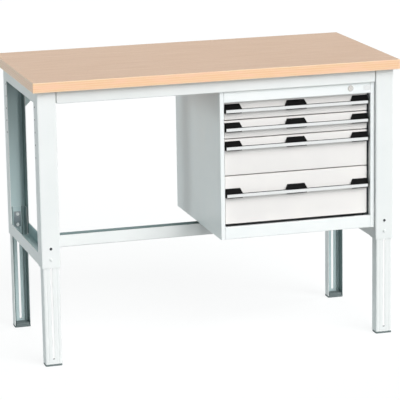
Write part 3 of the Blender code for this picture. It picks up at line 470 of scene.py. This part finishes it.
def rounded(points, radii, steps=5):
    """Closed outline with an arc at each corner.

    The arc's centre lies on the corner's bisector at radius over the sine of half its angle, and the arc
    swings from one touching point to the other.
    """
    corner = np.asarray(points, float)
    radius = np.maximum(np.broadcast_to(np.asarray(radii, float), len(corner)), FINE)[:, None]
    back = np.roll(corner, 1, axis=0) - corner
    ahead = np.roll(corner, -1, axis=0) - corner
    back /= np.linalg.norm(back, axis=1, keepdims=True)
    ahead /= np.linalg.norm(ahead, axis=1, keepdims=True)
    half = np.arccos(np.clip((back * ahead).sum(axis=1, keepdims=True), -1.0, 1.0)) / 2.0
    middle = back + ahead
    middle /= np.linalg.norm(middle, axis=1, keepdims=True)
    centre = corner + middle * radius / np.sin(half)
    first = corner + back * radius / np.tan(half) - centre
    last = corner + ahead * radius / np.tan(half) - centre
    turn = (math.pi - 2.0 * half)[:, :, None]
    along = np.linspace(0.0, 1.0, steps + 1)[None, :, None]
    arcs = (first[:, None] * np.sin((1.0 - along) * turn) + last[:, None] * np.sin(along * turn)) / np.sin(turn)
    return (centre[:, None] + arcs).reshape(-1, 2)


def folded(path, sheet, bend, steps=5):
    """Closed outline of a folded sheet.

    Its middle line, round at the bends, is set off by half the sheet along its normal both ways.
    """
    line = np.asarray(path, float)
    closed = rounded(line, bend, steps).reshape(len(line), -1, 2)
    middle = np.concatenate([line[:1], closed[1:-1].reshape(-1, 2), line[-1:]])
    way = np.gradient(middle, axis=0)
    way[0] = middle[1] - middle[0]
    way[-1] = middle[-1] - middle[-2]
    way /= np.linalg.norm(way, axis=1, keepdims=True)
    normal = np.stack([-way[:, 1], way[:, 0]], axis=1)
    return np.concatenate([middle + normal * sheet / 2.0, (middle - normal * sheet / 2.0)[::-1]])


def shell(rings):
    """Closed solid through rings of equally many points.

    Four-sided faces join each ring to the next, and a flat face closes the first ring and the last.
    """
    count, points = rings.shape[:2]
    ring = np.arange(count - 1)[:, None] * points
    here = np.arange(points)[None, :]
    after = (here + 1) % points
    quads = np.stack([ring + here, ring + after, ring + points + after, ring + points + here], axis=-1)
    caps = [list(range(points)), list(range((count - 1) * points, count * points))]
    return rings.reshape(-1, 3), quads.reshape(-1, 4).tolist() + caps


def carried(outline, axis, stations):
    """Closed outline carried straight along an axis, with a ring at each station."""
    outline = np.asarray(outline, float)
    stations = np.asarray(stations, float)
    rings = np.empty((len(stations), len(outline), 3))
    others = [k for k in range(3) if k != axis]
    rings[..., axis] = stations[:, None]
    rings[..., others[0]] = outline[None, :, 0]
    rings[..., others[1]] = outline[None, :, 1]
    return shell(rings)


def turned(profile, centre, axis, sides=24):
    """Solid of revolution: each pair of radius and place along the axis makes a ring round the centre line."""
    profile = np.asarray(profile, float)
    angle = 2.0 * math.pi * np.arange(sides) / sides
    others = [k for k in range(3) if k != axis]
    rings = np.empty((len(profile), sides, 3))
    rings[..., axis] = centre[axis] + profile[:, 1, None]
    rings[..., others[0]] = centre[others[0]] + profile[:, 0, None] * np.cos(angle)
    rings[..., others[1]] = centre[others[1]] + profile[:, 0, None] * np.sin(angle)
    return shell(rings)


def tray(low, high, axis, section, corner, steps=5):
    """Solid with a section carried round a rectangle.

    The rectangle spans low to high across the axis. Each pair of the section is an inset from it and a
    place along the axis; a ring is the rectangle drawn in by the inset, and its corners keep what is left
    of the radius.
    """
    low, high = np.asarray(low, float), np.asarray(high, float)
    others = [k for k in range(3) if k != axis]
    section = np.asarray(section, float)
    middle = (low + high)[others] / 2.0
    half = (high - low)[others] / 2.0
    angle = np.radians(np.arange(4)[:, None] * 90.0 + np.linspace(0.0, 90.0, steps + 1)[None, :]).reshape(-1)
    way = np.stack([np.cos(angle), np.sin(angle)], axis=1)
    sign = np.repeat(np.array([[1, 1], [-1, 1], [-1, -1], [1, -1]]), steps + 1, axis=0)
    radius = np.maximum(corner - section[:, 0], FINE)[:, None, None]
    centre = half[None, None, :] - section[:, 0, None, None] - radius
    flat = middle + sign[None] * centre + way[None] * radius
    rings = np.empty((len(section), len(angle), 3))
    rings[..., others] = flat
    rings[..., axis] = section[:, 1, None]
    return shell(rings)


def quarter(centre, radius, start, steps=4):
    """Points of a quarter circle of a section, from a start angle in degrees, anticlockwise."""
    angle = np.radians(start + np.linspace(0.0, 90.0, steps + 1))
    return np.stack([centre[0] + radius * np.cos(angle), centre[1] + radius * np.sin(angle)], axis=1)


def brick(low, high, edge, axis=2):
    """Block with all its edges rounded: a quarter circle from each flat face into the side."""
    low, high = np.asarray(low, float), np.asarray(high, float)
    start = quarter((edge, low[axis] + edge), edge, 180.0)[::-1]
    end = quarter((edge, high[axis] - edge), edge, 90.0)[::-1]
    return tray(low, high, axis, np.concatenate([start, end]), edge)


def make_piece(name, parts, finish, body, stands_for=()):
    """One object of several closed solids, with faces outwards and smooth rounds, riding on its body."""
    verts, faces, offset = [], [], 0
    for points, quads in parts:
        verts.append(points)
        faces += [[k + offset for k in face] for face in quads]
        offset += len(points)
    mesh = bpy.data.meshes.new(name)
    mesh.from_pydata(np.concatenate(verts).tolist(), [], faces)
    work = bmesh.new()
    work.from_mesh(mesh)
    bmesh.ops.remove_doubles(work, verts=work.verts, dist=WELD)
    bmesh.ops.recalc_face_normals(work, faces=work.faces)
    work.to_mesh(mesh)
    work.free()
    mesh.materials.append(FINISH[finish])
    mesh.shade_smooth()
    mesh.set_sharp_from_angle(angle=math.radians(CREASE))
    piece = bpy.data.objects.new(name, mesh)
    bpy.context.scene.collection.objects.link(piece)
    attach(piece, body)
    if stands_for:
        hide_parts(*stands_for)


def span(node):
    """Lowest and highest corner of a node, as arrays."""
    low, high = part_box(node)
    return np.array(low), np.array(high)


# Pans folded from sheet: drawer fronts and the front rail
FRONT_EDGE = 0.0017
FRONT_CORNER = 0.0022
FRONT_SHY = 0.0014
LUG_WIDTH = 0.0034
LUG_HEIGHT = 0.008
LUG_DEPTH = 0.004
LUG_EDGE = 0.0005
LUG_FROM_TOP = 0.014
LUG_SETBACK = 0.008
RAIL_EDGE = 0.0027
RAIL_CORNER = 0.0028
RAIL_SHEET = 0.0025
RAIL_SHY = 0.0016


def pan(low, high, edge, sheet, corner):
    """Pan open at the back: flat face, rolled edge, flange, and the inner faces one sheet further in."""
    face, back = low[1], high[1]
    inner = edge - sheet
    outside = np.concatenate([quarter((edge, face + edge), edge, 180.0, 6)[::-1], [(0.0, back)]])
    inside = np.concatenate([[(sheet, back)], quarter((edge, face + edge), inner, 180.0, 5)])
    return tray(low, high, 1, np.concatenate([outside, inside]), corner)


def drawer_front(number):
    """Pan as wide as the grips, a little short at its foot, with the lug for the lock bar at its right end."""
    low, high = span("drawer_front_%d" % number)
    grips_low, grips_high = span("handle_grips_%d" % number)
    low[0], high[0] = grips_low[0], grips_high[0]
    low[2] += FRONT_SHY
    lug_high = high[2] - LUG_FROM_TOP
    lug_near = low[1] + LUG_SETBACK
    lug = brick((high[0] - GAP, lug_near, lug_high - LUG_HEIGHT),
                (high[0] + LUG_WIDTH, lug_near + LUG_DEPTH, lug_high), LUG_EDGE)
    make_piece("rolled_drawer_front_%d" % number, [pan(low, high, FRONT_EDGE, SHEET, FRONT_CORNER), lug],
               "front_coat", "drawer_%d" % number, ["drawer_front_%d" % number])


def front_rail():
    """Pan between the front legs, whose rolled ends leave a shaded groove beside each leg."""
    low, high = span("front_top_rail")
    low[0] += RAIL_SHY
    high[0] -= RAIL_SHY
    make_piece("folded_front_rail", [pan(low, high, RAIL_EDGE, RAIL_SHEET, RAIL_CORNER)], "frame_coat",
               "frame", ["front_top_rail"])


# Handle bars: extruded trough with a rounded lip
BAR_LIP = 0.004
BAR_SHELF = 0.003
BAR_BACK = 0.0027
BAR_BACK_DROP = 0.001
# Radii from the lip's outer edge round under the bar, up its back and down into the trough
BAR_ROUNDS = (0.0014, 0.0045, 0.0005, 0.0004, 0.0004, 0.0008, 0.0012, 0.0014)


def handle_bar(number):
    """Outline of the trough, with an arc at each of its eight corners, carried along the bench."""
    low, high = span("handle_bar_%d" % number)
    near, far, under, top = low[1], high[1], low[2], high[2]
    shelf = under + BAR_SHELF
    corners = [(near, top), (near, under), (far, under), (far, top - BAR_BACK_DROP),
               (far - BAR_BACK, top - BAR_BACK_DROP), (far - BAR_BACK, shelf), (near + BAR_LIP, shelf),
               (near + BAR_LIP, top)]
    outline = rounded(corners, BAR_ROUNDS, 6)
    make_piece("extruded_bar_%d" % number, [carried(outline, 0, (low[0], high[0]))], "aluminium",
               "drawer_%d" % number, ["handle_bar_%d" % number])


# Moulded grips, end caps and the strip that joins them in the trough
GRIP_END = 0.070
GRIP_MIDDLE = 0.088
GRIP_SHIFT = 0.003
GRIP_TAPER = 0.007
GRIP_TOP = 0.0037
GRIP_FACE = 0.001
GRIP_LIP = 0.0015
GRIP_SAG = 0.0013
GRIP_EDGE = 0.0006
GRIP_INSET = 0.0005
GRIP_ROUND = 0.0022
RIBS = 5
RIB_HEIGHT = 0.00035
RIB_MARGIN = 0.12
STEM_INSET = 0.004
STEM_SIDE = 0.0006
STEM_EDGE = 0.0003
HOOK_DROP = 0.0026
HOOK_INSET = 0.002
HOOK_NEAR = 0.004
HOOK_FAR = 0.001
HOOK_EDGE = 0.0008
CAP_THICK = 0.002
CAP_RISE = 0.0063
CAP_EDGE = 0.0008
STRIP_WIDTH = 0.008
STRIP_THICK = 0.0015
STRIP_EDGE = 0.0004


def grip(x0, x1, lean0, lean1, near, far, low, high):
    """Moulded grip: a hollowed and ribbed slope between a front lip and the drawer's face.

    The section's slope runs straight from lip to top, less a parabola for the finger, plus small humps of
    a squared sine. Along the grip the section shrinks at both ends by a quarter circle, and its ends lean
    in with height.
    """
    along = np.linspace(0.0, 1.0, 61)
    start, end = np.array([near, low + GRIP_LIP]), np.array([far - GRIP_TOP, high])
    run = end - start
    outward = np.array([-run[1], run[0]]) / np.linalg.norm(run)
    wave = np.sin(RIBS * math.pi * (along - RIB_MARGIN) / (1.0 - 2.0 * RIB_MARGIN)) ** 2
    ribs = np.where((along > RIB_MARGIN) & (along < 1.0 - RIB_MARGIN), wave, 0.0)
    rise = RIB_HEIGHT * ribs - GRIP_SAG * 4.0 * along * (1.0 - along)
    slope = start + run * along[:, None] + outward * rise[:, None]
    lip = [(near + GRIP_EDGE, low), (near, low + GRIP_EDGE)]
    section = np.concatenate([lip, slope, [(far, high), (far, low)]])
    height = (section[:, 1] - low) / (high - low)
    angle = np.radians(np.linspace(0.0, 90.0, 7))
    reach = GRIP_ROUND * (1.0 - np.cos(angle)) / (x1 - x0)
    shrink = GRIP_ROUND * (1.0 - np.sin(angle))
    share = np.concatenate([reach, 1.0 - reach[::-1]])[:, None]
    shrink = np.concatenate([shrink, shrink[::-1]])[:, None]
    rings = np.empty((len(share), len(section), 3))
    rings[..., 0] = x0 + (x1 - x0) * share + lean0 * height * (1.0 - share) - lean1 * height * share
    rings[..., 1] = far - (far - section[:, 0]) * (1.0 - shrink / (far - near))
    rings[..., 2] = low + (section[:, 1] - low) * (1.0 - shrink / (high - low))
    return shell(rings)


def handle_grips(number):
    """Three grips with their hooks under the bar, two end caps, and the strip between them."""
    low, high = span("handle_grips_%d" % number)
    bar_low, bar_high = span("handle_bar_%d" % number)
    near, far = bar_low[1], bar_high[1]
    under, top = bar_low[2], bar_high[2]
    floor = under + BAR_SHELF + GAP
    trough_near, trough_far = near + BAR_LIP + STEM_SIDE, far - BAR_BACK - GAP
    middle = (low[0] + high[0]) / 2.0 - GRIP_SHIFT
    spans = ((low[0] + GRIP_INSET, low[0] + GRIP_END, 0.0, GRIP_TAPER),
             (middle - GRIP_MIDDLE / 2.0, middle + GRIP_MIDDLE / 2.0, GRIP_TAPER, GRIP_TAPER),
             (high[0] - GRIP_END, high[0] - GRIP_INSET, GRIP_TAPER, 0.0))
    parts = []
    for x0, x1, lean0, lean1 in spans:
        parts.append(grip(x0, x1, lean0, lean1, near + GRIP_FACE, far, top + GAP, high[2]))
        stem0, stem1 = max(x0, low[0] + STEM_INSET), min(x1, high[0] - STEM_INSET)
        parts.append(brick((stem0, trough_near, floor), (stem1, trough_far, top + 2.0 * GAP), STEM_EDGE))
        parts.append(brick((stem0 + HOOK_INSET, near + HOOK_NEAR, under - HOOK_DROP),
                           (stem1 - HOOK_INSET, far - HOOK_FAR, under - FINE), HOOK_EDGE))
    for x0, x1 in ((low[0], low[0] + CAP_THICK), (high[0] - CAP_THICK, high[0])):
        parts.append(brick((x0, low[1], low[2]), (x1, far, top + CAP_RISE), CAP_EDGE))
    strip = (trough_near + trough_far) / 2.0
    parts.append(brick((low[0] + CAP_THICK / 2.0, strip - STRIP_WIDTH / 2.0, floor),
                       (high[0] - CAP_THICK / 2.0, strip + STRIP_WIDTH / 2.0, floor + STRIP_THICK), STRIP_EDGE))
    make_piece("moulded_grips_%d" % number, parts, "black", "drawer_%d" % number,
               ["handle_grips_%d" % number])


# Drawer boxes: folded sheet with a rolled rim and the drawer member of each slide
RIM = 0.0017
RIM_TURN = (180.0, -60.0)
RIM_FOOT = 0.00442
BOX_EDGE = 0.0022
BOX_INNER_EDGE = 0.0011
BOX_CORNER = 0.0030
MEMBER_WIDTH = 0.008
MEMBER_SINK = 0.0006
MEMBER_HEIGHT = 0.030
MEMBER_LIFT = 0.006
MEMBER_BEND = 0.0011
MEMBER_FROM_FRONT = 0.0037
MEMBER_FROM_BACK = 0.004


def drawer_box(number):
    """Open tray: rolled lower edge, straight wall, a rim bead rolled inwards, and the inner wall and floor.

    A channel along each side is the drawer's member of the slide.
    """
    low, high = span("drawer_box_%d" % number)
    left, right = low[0], high[0]
    low[0] += MEMBER_WIDTH - MEMBER_SINK
    high[0] -= MEMBER_WIDTH - MEMBER_SINK
    base, rim = low[2], high[2]
    outside = quarter((BOX_EDGE, base + BOX_EDGE), BOX_EDGE, 180.0)[::-1]
    bead = np.radians(np.linspace(*RIM_TURN, 11))
    bead = np.stack([RIM + RIM * np.cos(bead), rim - RIM + RIM * np.sin(bead)], axis=1)
    inner = SHEET + BOX_INNER_EDGE
    inside = quarter((inner, base + inner), BOX_INNER_EDGE, 180.0)
    parts = [tray(low, high, 2, np.concatenate([outside, bead, [(SHEET, rim - RIM_FOOT)], inside]), BOX_CORNER)]
    under = base + MEMBER_LIFT + SHEET / 2.0
    over = base + MEMBER_LIFT + MEMBER_HEIGHT - SHEET / 2.0
    for tip, wall, way in ((left, low[0], 1.0), (right, high[0], -1.0)):
        web = wall + way * (MEMBER_SINK - SHEET / 2.0)
        path = [(tip, under), (web, under), (web, over), (tip, over)]
        parts.append(carried(folded(path, SHEET, MEMBER_BEND), 1,
                             (low[1] + MEMBER_FROM_FRONT, high[1] - MEMBER_FROM_BACK)))
    make_piece("folded_drawer_box_%d" % number, parts, "box_coat", "drawer_%d" % number,
               ["drawer_box_%d" % number])


# Telescopic slides: the middle member between the drawer's and the cabinet's
TRACK = 0.0052
TRACK_ROUNDS = (0.0014, 0.0014, 0.0008, 0.0010, 0.0010, 0.0008)
WEB_HALF = 0.0016
RIVET_RADIUS = 0.0026
RIVET_HEIGHT = 0.0011
RIVET_PITCH = 0.128
RIVET_FROM_FRONT = 0.022
RIVET_FROM_BACK = 0.010
BALL_RADIUS = 0.0015
BALL_PITCH = 0.0145
BALL_INSET = 0.0026
BALL_LIFT = 0.0009
BALL_ROW = (0.060, 0.250)
# Radius and place of a part's rings, as shares of its radius or height
RIVET_HEAD = ((1.0, 0.3), (0.7, 0.8), (0.2, 1.0))
BALL = ((0.35, -0.94), (0.87, -0.5), (0.87, 0.5), (0.35, 0.94))


def slide_member(side, number):
    """Double channel: two tracks joined by a web, with riveted stops, and a row of balls along each track."""
    node = "slide_bar_%s_%d" % (side, number)
    low, high = span(node)
    middle = (low[0] + high[0]) / 2.0
    corners = [(low[0], low[2]), (high[0], low[2]), (high[0], low[2] + TRACK), (middle + WEB_HALF, low[2] + TRACK),
               (middle + WEB_HALF, high[2] - TRACK), (high[0], high[2] - TRACK), (high[0], high[2]),
               (low[0], high[2]), (low[0], high[2] - TRACK), (middle - WEB_HALF, high[2] - TRACK),
               (middle - WEB_HALF, low[2] + TRACK), (low[0], low[2] + TRACK)]
    outline = rounded(corners, TRACK_ROUNDS * 2, 3)
    parts = [carried(outline, 1, (low[1], high[1]))]
    height = (low[2] + high[2]) / 2.0
    head = np.concatenate([[(RIVET_RADIUS, -FINE)], np.array(RIVET_HEAD) * (RIVET_RADIUS, RIVET_HEIGHT)])
    for way in (1.0, -1.0):
        profile = (head + (0.0, WEB_HALF)) * (1.0, way)
        for place in np.arange(low[1] + RIVET_FROM_FRONT, high[1] - RIVET_FROM_BACK, RIVET_PITCH):
            parts.append(turned(profile, (middle, place, height), 0, 12))
    ball = np.array(BALL) * BALL_RADIUS
    for x in (low[0] + BALL_INSET, high[0] - BALL_INSET):
        for z in (low[2] + TRACK + BALL_LIFT, high[2] - TRACK - BALL_LIFT):
            for place in np.arange(low[1] + BALL_ROW[0], low[1] + BALL_ROW[1], BALL_PITCH):
                parts.append(turned(ball, (x, place, z), 1, 8))
    make_piece("slide_member_%s_%d" % (side, number), parts, "zinc", "slide_%s_%d" % (side, number),
               [node])


# Feet at the ends of the inner legs
FOOT_HEIGHT = 0.008
FOOT_EDGE = 0.0012
FOOT_CORNER = 0.004
GROOVE_SINK = 0.0006
GROOVE_RISE = (0.0032, 0.0037, 0.0046, 0.0051)
PLUG_SIDE = 0.0062
PLUG_FACE = 0.0046
PLUG_OPEN = 0.0010
PLUG_EDGE = 0.0012


def foot(corner):
    """Plastic foot: a pad with rounded edges and a groove round it, and the plug that grips inside the leg."""
    node = "foot_" + corner
    low, high = span(node)
    pad_high = high.copy()
    pad_high[2] = low[2] + FOOT_HEIGHT
    base, top = low[2], pad_high[2]
    groove = [(sink, base + rise) for sink, rise in zip((0.0, GROOVE_SINK, GROOVE_SINK, 0.0), GROOVE_RISE)]
    section = np.concatenate([quarter((FOOT_EDGE, base + FOOT_EDGE), FOOT_EDGE, 180.0)[::-1], groove,
                              quarter((FOOT_EDGE, top - FOOT_EDGE), FOOT_EDGE, 90.0)[::-1]])
    closed, opened = (PLUG_FACE, PLUG_OPEN) if corner.startswith("front") else (PLUG_OPEN, PLUG_FACE)
    plug = brick((low[0] + PLUG_SIDE, low[1] + closed, top - FINE),
                 (high[0] - PLUG_SIDE, high[1] - opened, high[2]), PLUG_EDGE)
    make_piece("moulded_foot_" + corner, [tray(low, pad_high, 2, section, FOOT_CORNER), plug], "foot_plastic",
               "leg_" + corner, [node])


# Clamps of the legs; places along a bolt are counted from its head's crown
STUD_FROM_END = 0.010
STUD_RADIUS = 0.004
STUD_START = 0.0034
STUD_PAST_NUT = 0.0014
STUD_EDGE = 0.0006
HEAD_RADIUS = 0.0055
HEAD_HEIGHT = 0.0030
HEAD_FOOT = (0.0052, 0.0032)
SOCKET_RADIUS = 0.0022
SOCKET_EDGE = 0.0003
SOCKET_DEPTH = 0.0017
SOCKET_POINT = (0.0002, 0.0021)
WASHER_HOLE = 0.0045
WASHER_RADIUS = 0.0068
WASHER_EDGE = (0.0003, 0.0002)
WASHER_NEAR = 0.0030
WASHER_FAR = 0.0038
NUT_RADIUS = 0.0075
NUT_HEIGHT = 0.0065
NUT_EDGE = (0.0010, 0.0007)
PLATE_THICK = 0.004
PLATE_EDGE = 0.0008


def bolt_profiles(depth):
    """Profile and number of sides of a bolt's head, washer, stud and nut, for a bolt of that depth.

    The head is a quarter ellipse with the socket sunk in its middle, and the nut's two ends are chamfered.
    """
    angle = np.radians(np.linspace(0.0, 90.0, 6))
    rim = SOCKET_RADIUS + SOCKET_EDGE
    crown = np.stack([rim + (HEAD_RADIUS - rim) * np.cos(angle), HEAD_HEIGHT * (1.0 - np.sin(angle))], axis=1)
    head = np.concatenate([[HEAD_FOOT], crown,
                           [(SOCKET_RADIUS, SOCKET_EDGE), (SOCKET_RADIUS, SOCKET_DEPTH), SOCKET_POINT]])
    side, end = WASHER_EDGE
    washer = [(WASHER_HOLE, WASHER_NEAR), (WASHER_RADIUS - side, WASHER_NEAR),
              (WASHER_RADIUS, WASHER_NEAR + end), (WASHER_RADIUS, WASHER_FAR), (WASHER_HOLE, WASHER_FAR)]
    tip = depth + STUD_PAST_NUT
    stud = [(STUD_RADIUS, STUD_START), (STUD_RADIUS, tip - STUD_EDGE), (STUD_RADIUS - STUD_EDGE, tip)]
    start = depth - NUT_HEIGHT
    side, end = NUT_EDGE
    nut = [(NUT_RADIUS - side, start - FINE), (NUT_RADIUS, start + end), (NUT_RADIUS, depth - end),
           (NUT_RADIUS - side, depth)]
    return (head, 24), (washer, 24), (stud, 16), (nut, 6)


def clamp(corner):
    """Clamp of a leg: a plate inside, and two button-headed bolts with washers and nuts.

    Each part but the plate is a profile turned round the bolt's line. The upper bolt's head is a piece of
    its own, because it is black where the rest is painted with the frame.
    """
    node = "clamp_" + corner
    low, high = span(node)
    outer, inner, way = (low[1], high[1], 1.0) if corner.startswith("front") else (high[1], low[1], -1.0)
    middle = (low[0] + high[0]) / 2.0
    faces = sorted((inner - way * NUT_HEIGHT, inner - way * (NUT_HEIGHT + PLATE_THICK)))
    plate = brick((low[0], faces[0], low[2]), (high[0], faces[1], high[2]), PLATE_EDGE, 1)
    make_piece("clamp_plate_" + corner, [plate], "zinc", "frame", [node])
    upper_head, painted = [], []
    for height, heads in ((low[2] + STUD_FROM_END, painted), (high[2] - STUD_FROM_END, upper_head)):
        solids = [turned(np.array(profile) * (1.0, way), (middle, outer, height), 1, sides)
                  for profile, sides in bolt_profiles(abs(inner - outer))]
        heads.append(solids[0])
        painted += solids[1:]
    make_piece("clamp_bolt_" + corner, upper_head, "black_zinc", "frame")
    make_piece("clamp_nuts_" + corner, painted, "frame_coat", "frame")


# Lock ring and the blank plate on the fascia
RING_RADIUS = 0.0124
RING_INNER = 0.0101
RING_PROUD = 0.0012
RING_EDGE = 0.0006
RING_BEVEL = 0.0005
RING_FLOOR = 0.0002
BLANK_MIDDLE = (0.622, 1.027)
BLANK_SIZE = (0.030, 0.020)
BLANK_PROUD = 0.0008
BLANK_EDGE = 0.0003


def fascia_trim():
    """Ring turned round the lock's barrel, and a small blank plate beside it."""
    low, high = span("lock_cylinder")
    face = span("cabinet_fascia")[0][1]
    x, z = (low[0] + high[0]) / 2.0, (low[2] + high[2]) / 2.0
    ring = [(RING_RADIUS, -FINE), (RING_RADIUS, -0.5 * RING_PROUD), (RING_RADIUS - RING_EDGE, -RING_PROUD),
            (RING_INNER + RING_BEVEL, -RING_PROUD), (RING_INNER, -0.6 * RING_PROUD), (RING_INNER, -RING_FLOOR),
            (RING_BEVEL, -RING_FLOOR)]
    make_piece("lock_ring", [turned(ring, (x, face, z), 1, 40)], "nickel", "frame")
    middle, half = np.array(BLANK_MIDDLE), np.array(BLANK_SIZE) / 2.0
    (x0, z0), (x1, z1) = middle - half, middle + half
    plate = brick((x0, face - BLANK_PROUD, z0), (x1, face - FINE, z1), BLANK_EDGE, 1)
    make_piece("blank_plate", [plate], "aluminium", "frame")


def make_camera():
    """Camera from its place, its turn from +Y towards +X, its tilt down and its roll."""
    yaw, pitch, roll = (math.radians(v) for v in (CAMERA_YAW, CAMERA_PITCH, CAMERA_ROLL))
    forward = Vector((math.sin(yaw) * math.cos(pitch), math.cos(yaw) * math.cos(pitch), -math.sin(pitch)))
    level = Vector((math.cos(yaw), -math.sin(yaw), 0.0))
    upright = level.cross(forward)
    right = level * math.cos(roll) + upright * math.sin(roll)
    up = upright * math.cos(roll) - level * math.sin(roll)
    data = bpy.data.cameras.new("camera")
    data.lens = CAMERA_LENS
    data.sensor_width = SENSOR
    data.clip_end = CAMERA_REACH
    camera = bpy.data.objects.new("camera", data)
    turn = Matrix((right, up, -forward)).transposed().to_4x4()
    camera.matrix_world = Matrix.Translation(CAMERA_PLACE) @ turn
    bpy.context.scene.collection.objects.link(camera)
    bpy.context.scene.camera = camera


def seen_rays(tree):
    """1 where the camera sees a surface directly, in a reflection or through something clear, and 0 elsewhere."""
    rays = add_node(tree, "ShaderNodeLightPath")
    seen = add_node(tree, "ShaderNodeMath", {"operation": "MAXIMUM"},
                    {0: rays.outputs["Is Camera Ray"], 1: rays.outputs["Is Glossy Ray"]})
    return add_node(tree, "ShaderNodeMath", {"operation": "MAXIMUM"},
                    {0: seen.outputs[0], 1: rays.outputs["Is Transmission Ray"]}).outputs[0]


def make_light():
    """Low even surroundings, a broad key and a low lamp from the front, and a softer lamp on each other side."""
    world = bpy.data.worlds.new("studio")
    bpy.context.scene.world = world
    world.use_nodes = True
    tree = world.node_tree
    tree.nodes.clear()
    seen = seen_rays(tree)
    level = add_node(tree, "ShaderNodeMapRange", {"To Min": AMBIENT, "To Max": 1.0}, {"Value": seen})
    tint = blend(tree, seen, AMBIENT_TINT, WHITE)
    glow = add_node(tree, "ShaderNodeBackground", links={"Color": tint, "Strength": level.outputs["Result"]})
    add_node(tree, "ShaderNodeOutputWorld", links={"Surface": glow.outputs[0]})
    for name, (turn, rise, strength, width, tone) in LAMPS.items():
        data = bpy.data.lights.new(name, "SUN")
        data.energy = strength * math.pi
        data.color = colour(tone)[:3]
        data.angle = math.radians(width)
        lamp = bpy.data.objects.new(name, data)
        turn, rise = math.radians(turn), math.radians(rise)
        towards = Vector((math.sin(turn) * math.cos(rise), -math.cos(turn) * math.cos(rise), math.sin(rise)))
        lamp.rotation_euler = towards.to_track_quat("Z", "Y").to_euler()
        lamp.visible_glossy = False
        bpy.context.scene.collection.objects.link(lamp)


def make_floor():
    """Plain pale floor that looks white to the camera and keeps a faint shadow of the bench."""
    half = FLOOR_SIZE / 2.0
    mesh = bpy.data.meshes.new("floor")
    mesh.from_pydata([(-half, -half, 0.0), (half, -half, 0.0), (half, half, 0.0), (-half, half, 0.0)],
                     [], [(0, 1, 2, 3)])
    floor = bpy.data.objects.new("floor", mesh)
    bpy.context.scene.collection.objects.link(floor)
    made, tree, shader, _ = new_material("floor_paint", 0.9)
    shader.inputs["Specular IOR Level"].default_value = 0.0
    seen = seen_rays(tree)
    shade = blend(tree, FLOOR_SHADE, BLACK, FLOOR_GREY)
    tree.links.new(blend(tree, seen, FLOOR_GREY, shade), shader.inputs["Base Color"])
    glow = add_node(tree, "ShaderNodeMath", {"operation": "MULTIPLY", 1: FLOOR_GLOW}, {0: seen})
    shader.inputs["Emission Color"].default_value = colour(WHITE)
    tree.links.new(glow.outputs[0], shader.inputs["Emission Strength"])
    mesh.materials.append(made)


# The bench, then its camera, light and floor
dress_nodes()
front_rail()
fascia_trim()
for drawer in DRAWERS:
    drawer_front(drawer)
    handle_bar(drawer)
    handle_grips(drawer)
    drawer_box(drawer)
    for side in SIDES:
        slide_member(side, drawer)
for corner in CORNERS:
    foot(corner)
    clamp(corner)
make_camera()
make_light()
make_floor()
bpy.context.scene.view_settings.view_transform = "Standard"
